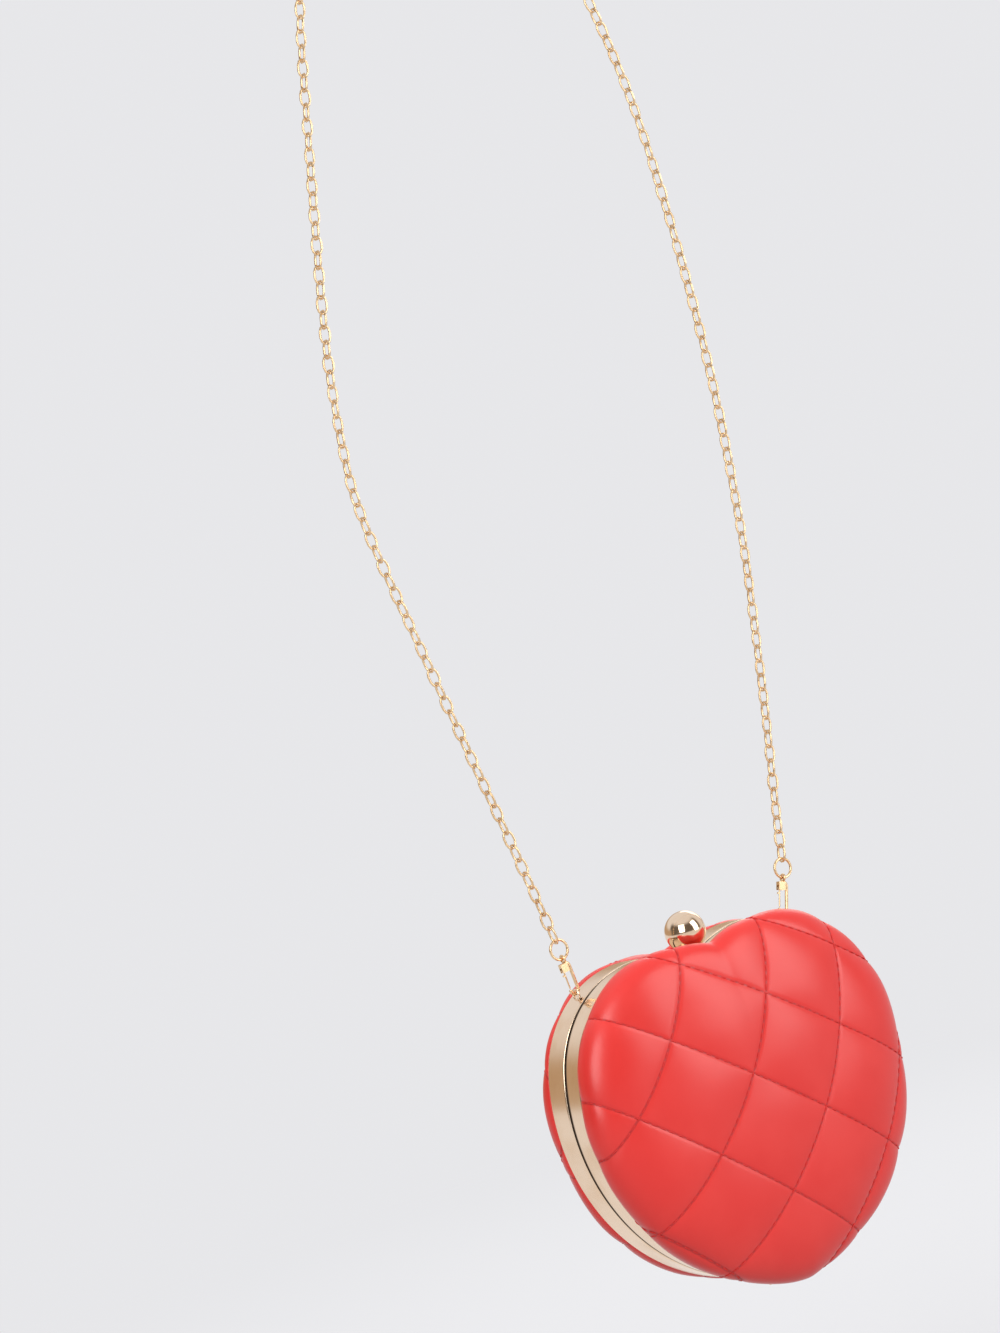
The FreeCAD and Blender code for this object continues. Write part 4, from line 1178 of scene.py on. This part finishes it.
@dataclass
class LeafSpring:
    """Hairpin leaf spring over the clasp's lever, which gives way as the ball is pushed."""

    node: str = "clasp_spring"
    body: str = "front_half"
    joint: str = "clasp_rock"
    wall: float = 0.0004
    arc_steps: int = 18
    keep_share: float = 0.88
    sharp_angle: float = 35.0

    def build(self) -> bpy.types.Object:
        """Make the spring and let it ride on the front half.

        Its line is a half circle between two straight legs, and the outer line and the one set in by the wall
        close a section that is carried across the leaf's width.

        Returns:
            The spring.
        """
        low, high = (np.array(corner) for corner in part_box(self.node))
        outer = (high[2] - low[2]) / 2.0
        bend = np.array([low[1] + outer, low[2] + outer])
        turned = np.linspace(math.pi / 2.0, math.pi * 1.5, self.arc_steps + 1)
        way = np.stack([np.cos(turned), np.sin(turned)], axis=-1)
        leg = np.array([high[1] - bend[0], 0.0])
        lines = [bend + radius * np.vstack([way[:1], way, way[-1:]]) for radius in (outer, outer - self.wall)]
        for line in lines:
            line[[0, -1]] += leg
        section = np.vstack([lines[0], lines[1][::-1]])
        count = len(section)
        edges = [np.column_stack([np.full(count, across), section]) for across in (low[0], high[0])]
        first = np.arange(count // 2 - 1)
        cap = np.stack([count - 1 - first, count - 2 - first, first + 1, first], axis=-1)
        faces = [strip_faces(len(edges), count), cap, cap[:, ::-1] + count]
        spring = make_piece("clasp_leaf_spring", np.vstack(edges), faces)
        spring.data.set_sharp_from_angle(angle=math.radians(self.sharp_angle))
        STEEL.dress(spring)
        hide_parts(self.node)
        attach(spring, self.body)
        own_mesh(spring)
        return spring


@dataclass
class PlainPieces:
    """Shells, hinge, clasp, ears and strap ends, whose shapes are the frame's own."""

    board: tuple[str, ...] = ("front_shell", "rear_shell")
    polished: tuple[str, ...] = ("clasp_ball",)

    def dress(self) -> None:
        """Give each shown node of the frame its finish."""
        for name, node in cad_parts.items():
            if node.hide_render:
                continue
            finish: Finish = GOLD
            if name in self.board:
                finish = BOARD
            elif name in self.polished:
                finish = BALL_GOLD
            elif name.endswith(STRAP_ENDS):
                finish = CHAIN_GOLD
            finish.dress(node)
            LOG.info("%s wears %s", name, finish.name)


@dataclass(frozen=True)
class Lamp:
    """Rectangular soft lamp, by its place from the purse's middle, its size and its watts."""

    name: str
    place: tuple[float, float, float]
    size: Pair
    power: float
    mirrored: bool = True

    def hang(self) -> None:
        """Hang the lamp so that it looks at the purse, shown in metal or not."""
        light = bpy.data.lights.new(self.name, "AREA")
        light.shape = "RECTANGLE"
        light.size, light.size_y = self.size
        light.energy = self.power
        lamp = bpy.data.objects.new(self.name, light)
        lamp.visible_glossy = self.mirrored
        lamp.location = Vector(self.place) + Vector((0.0, 0.0, HEART.crown)) - Vector(SHOULDER)
        lamp.rotation_euler = Vector(self.place).to_track_quat("Z", "Y").to_euler()
        bpy.context.scene.collection.objects.link(lamp)


LAMPS = (
    Lamp("key", (-1.04, -0.90, 0.75), (0.80, 1.10), 12.5),
    Lamp("fill", (0.77, -1.14, 0.55), (0.75, 1.25), 10.5),
    Lamp("top", (-0.1, 0.3, 1.3), (1.0, 1.0), 4.5, mirrored=False),
    Lamp("back", (0.90, 1.35, 0.75), (1.0, 1.0), 13.0, mirrored=False),
    Lamp("rim", (1.25, 1.00, 0.70), (0.90, 0.90), 3.0),
)


@dataclass
class Studio:
    """Camera, pale floor and soft light."""

    turn: float = -32.2
    rise: float = 1.9
    roll: float = -16.9
    distance: float = 1.8
    focal_pixels: float = 4050.0
    sensor_width: float = 36.0
    farthest: float = 100.0
    image: Pair = (1000.0, 1333.0)
    aim: tuple[float, float, float] = (0.0, 0.0, 0.075)
    aim_pixel: Pair = (732.8, 1109.6)
    pale: Colour = (0.80, 0.80, 0.82, 1.0)
    bounce: Colour = (0.34, 0.33, 0.33, 1.0)
    room: Colour = (0.14, 0.12, 0.10, 1.0)
    dusk: Colour = (0.50, 0.37, 0.25, 1.0)
    room_way: tuple[float, float, float] = (-0.50, -0.86, 0.08)
    room_edge: Pair = (-0.25, 0.05)
    room_top: Pair = (0.60, 0.85)
    dusk_depth: Pair = (0.25, 0.60)
    dusk_level: float = 0.15
    dusk_edge: Pair = (0.08, 0.34)
    floor_level: float = -0.790
    floor_reach: float = 30.0
    shadow_reach: float = 1.5
    shadow_share: float = 0.35
    sky: float = 0.40

    def camera(self) -> None:
        """Set the camera so that the aim falls on its pixel."""
        turn, rise, roll = (math.radians(angle) for angle in (self.turn, self.rise, self.roll))
        back = Vector((math.sin(turn) * math.cos(rise), -math.cos(turn) * math.cos(rise), math.sin(rise)))
        level = Vector((math.cos(turn), math.sin(turn), 0.0))
        upright = back.cross(level)
        right = level * math.cos(roll) + upright * math.sin(roll)
        up = upright * math.cos(roll) - level * math.sin(roll)
        scale = self.distance / self.focal_pixels
        place = Vector(self.aim) - Vector(SHOULDER) + back * self.distance
        place -= right * ((self.aim_pixel[0] - self.image[0] / 2.0) * scale)
        place += up * ((self.aim_pixel[1] - self.image[1] / 2.0) * scale)
        lens = bpy.data.cameras.new("camera")
        lens.sensor_width = self.sensor_width
        lens.lens = self.focal_pixels * self.sensor_width / self.image[1]
        lens.clip_end = self.farthest
        camera = bpy.data.objects.new("camera", lens)
        camera.matrix_world = Matrix.Translation(place) @ Matrix((right, up, back)).transposed().to_4x4()
        bpy.context.scene.collection.objects.link(camera)
        bpy.context.scene.camera = camera

    def seen(self, nodes: Nodes) -> Value:
        """Share of a ray that looks, reflects or passes through, and so sees the pale studio."""
        total: Any = 0.0
        for kind in ("Is Camera Ray", "Is Glossy Ray", "Is Transmission Ray"):
            total = nodes.node("ShaderNodeLightPath", output=kind) + total
        return total.maths("MINIMUM", total, 1.0)

    def mirrored(self, nodes: Nodes) -> Value:
        """Studio as a mirror sees it: pale, with a dim room in front and a dusky wall low behind."""
        way = nodes.node("ShaderNodeTexCoord", output="Generated")
        facing = {0: way, 1: self.room_way}
        toward = nodes.node("ShaderNodeVectorMath", {"operation": "DOT_PRODUCT"}, facing, "Value")
        height = nodes.part(way, "Z")
        in_room = nodes.smooth(toward, *self.room_edge) * (1.0 - nodes.smooth(height, *self.room_top))
        behind = nodes.smooth(nodes.part(way, "Y"), *self.dusk_depth)
        low_behind = behind * (1.0 - nodes.smooth(abs(height - self.dusk_level), *self.dusk_edge))
        colour = nodes.mix(in_room, self.pale, self.room)
        return nodes.mix(low_behind, colour, self.dusk)

    def world(self) -> None:
        """Even pale sky where it is seen, its mirrored form for metal, and a softer light on the purse."""
        world = bpy.data.worlds.new("studio")
        world.use_nodes = True
        bpy.context.scene.world = world
        nodes = Nodes(world.node_tree)
        glossy = nodes.node("ShaderNodeLightPath", output="Is Glossy Ray")
        colour = nodes.mix(glossy, self.pale, self.mirrored(nodes))
        shown = nodes.node("ShaderNodeBackground", inputs={"Color": colour, "Strength": 1.0})
        white = {"Color": (1.0, 1.0, 1.0, 1.0), "Strength": self.sky}
        light = nodes.node("ShaderNodeBackground", inputs=white)
        both = nodes.node("ShaderNodeMixShader", inputs={0: self.seen(nodes), 1: light, 2: shown})
        nodes.node("ShaderNodeOutputWorld", inputs={"Surface": both})

    def floor(self) -> None:
        """Pale floor that keeps a soft shadow near the purse and runs out into the pale sky."""
        reach = self.floor_reach
        corners = np.array([[-reach, -reach], [reach, -reach], [reach, reach], [-reach, reach]])
        points = np.column_stack([corners, np.full(len(corners), self.floor_level)])
        floor = make_piece("floor", points, [np.arange(len(corners))[None]])
        material = bpy.data.materials.new("pale_floor")
        material.use_nodes = True
        nodes = Nodes(material.node_tree)
        spread = nodes.node("ShaderNodeLightPath", output="Is Diffuse Ray")
        tone = nodes.mix(spread, self.pale, self.bounce)
        matt = nodes.node("ShaderNodeBsdfDiffuse", inputs={"Color": tone})
        glow = nodes.node("ShaderNodeEmission", inputs={"Color": self.pale, "Strength": 1.0})
        away = nodes.node("ShaderNodeVectorMath", {"operation": "LENGTH"}, {0: nodes.place()}, "Value")
        near = 1.0 - nodes.smooth(away, abs(self.floor_level), self.shadow_reach)
        glowing = self.seen(nodes) * (1.0 - near * self.shadow_share)
        both = nodes.node("ShaderNodeMixShader", inputs={0: glowing, 1: matt, 2: glow})
        nodes.node("ShaderNodeOutputMaterial", inputs={"Surface": both})
        floor.data.materials.append(material)

    def build(self) -> None:
        """Set everything, with plain colours in the picture."""
        bpy.context.scene.view_settings.view_transform = "Standard"
        self.camera()
        self.world()
        self.floor()
        for lamp in LAMPS:
            lamp.hang()


def main() -> None:
    """Build and dress every piece in order."""
    logging.basicConfig(level=logging.INFO, format="%(name)s: %(message)s")
    Studio().build()
    front = Bowl(Side.FRONT, depth=0.0245)
    rear = Bowl(Side.REAR, depth=0.0185, band_reach=0.0134, bulge_share=0.015)
    pieces = [ChainStrap().build()]
    pieces += QuiltedCover(front, "front_cover", "front_half").build()
    pieces += QuiltedCover(rear, "rear_cover", "rear_half").build()
    pieces.append(ClothLining(front, "front_lining", "front_half", "front_shell").build())
    pieces.append(ClothLining(rear, "rear_lining", "rear_half", "rear_shell", scoop_reach=0.0060).build())
    front_band = SmoothBand(Side.FRONT, "front_frame", "front_half", front.band_reach, step_wall=0.0016,
                            step_reach=0.00175, slot=(0.0019, 0.00675))
    rear_band = SmoothBand(Side.REAR, "rear_frame", "rear_half", rear.band_reach, step_wall=0.00195,
                           step_reach=-0.0014)
    pieces += [front_band.build(), rear_band.build()]
    pieces.append(LeafSpring().build())
    PlainPieces().dress()
    for piece in pieces:
        LOG.info("%s has %d faces", piece.name, len(piece.data.polygons))


if __name__ == "__main__":
    main()
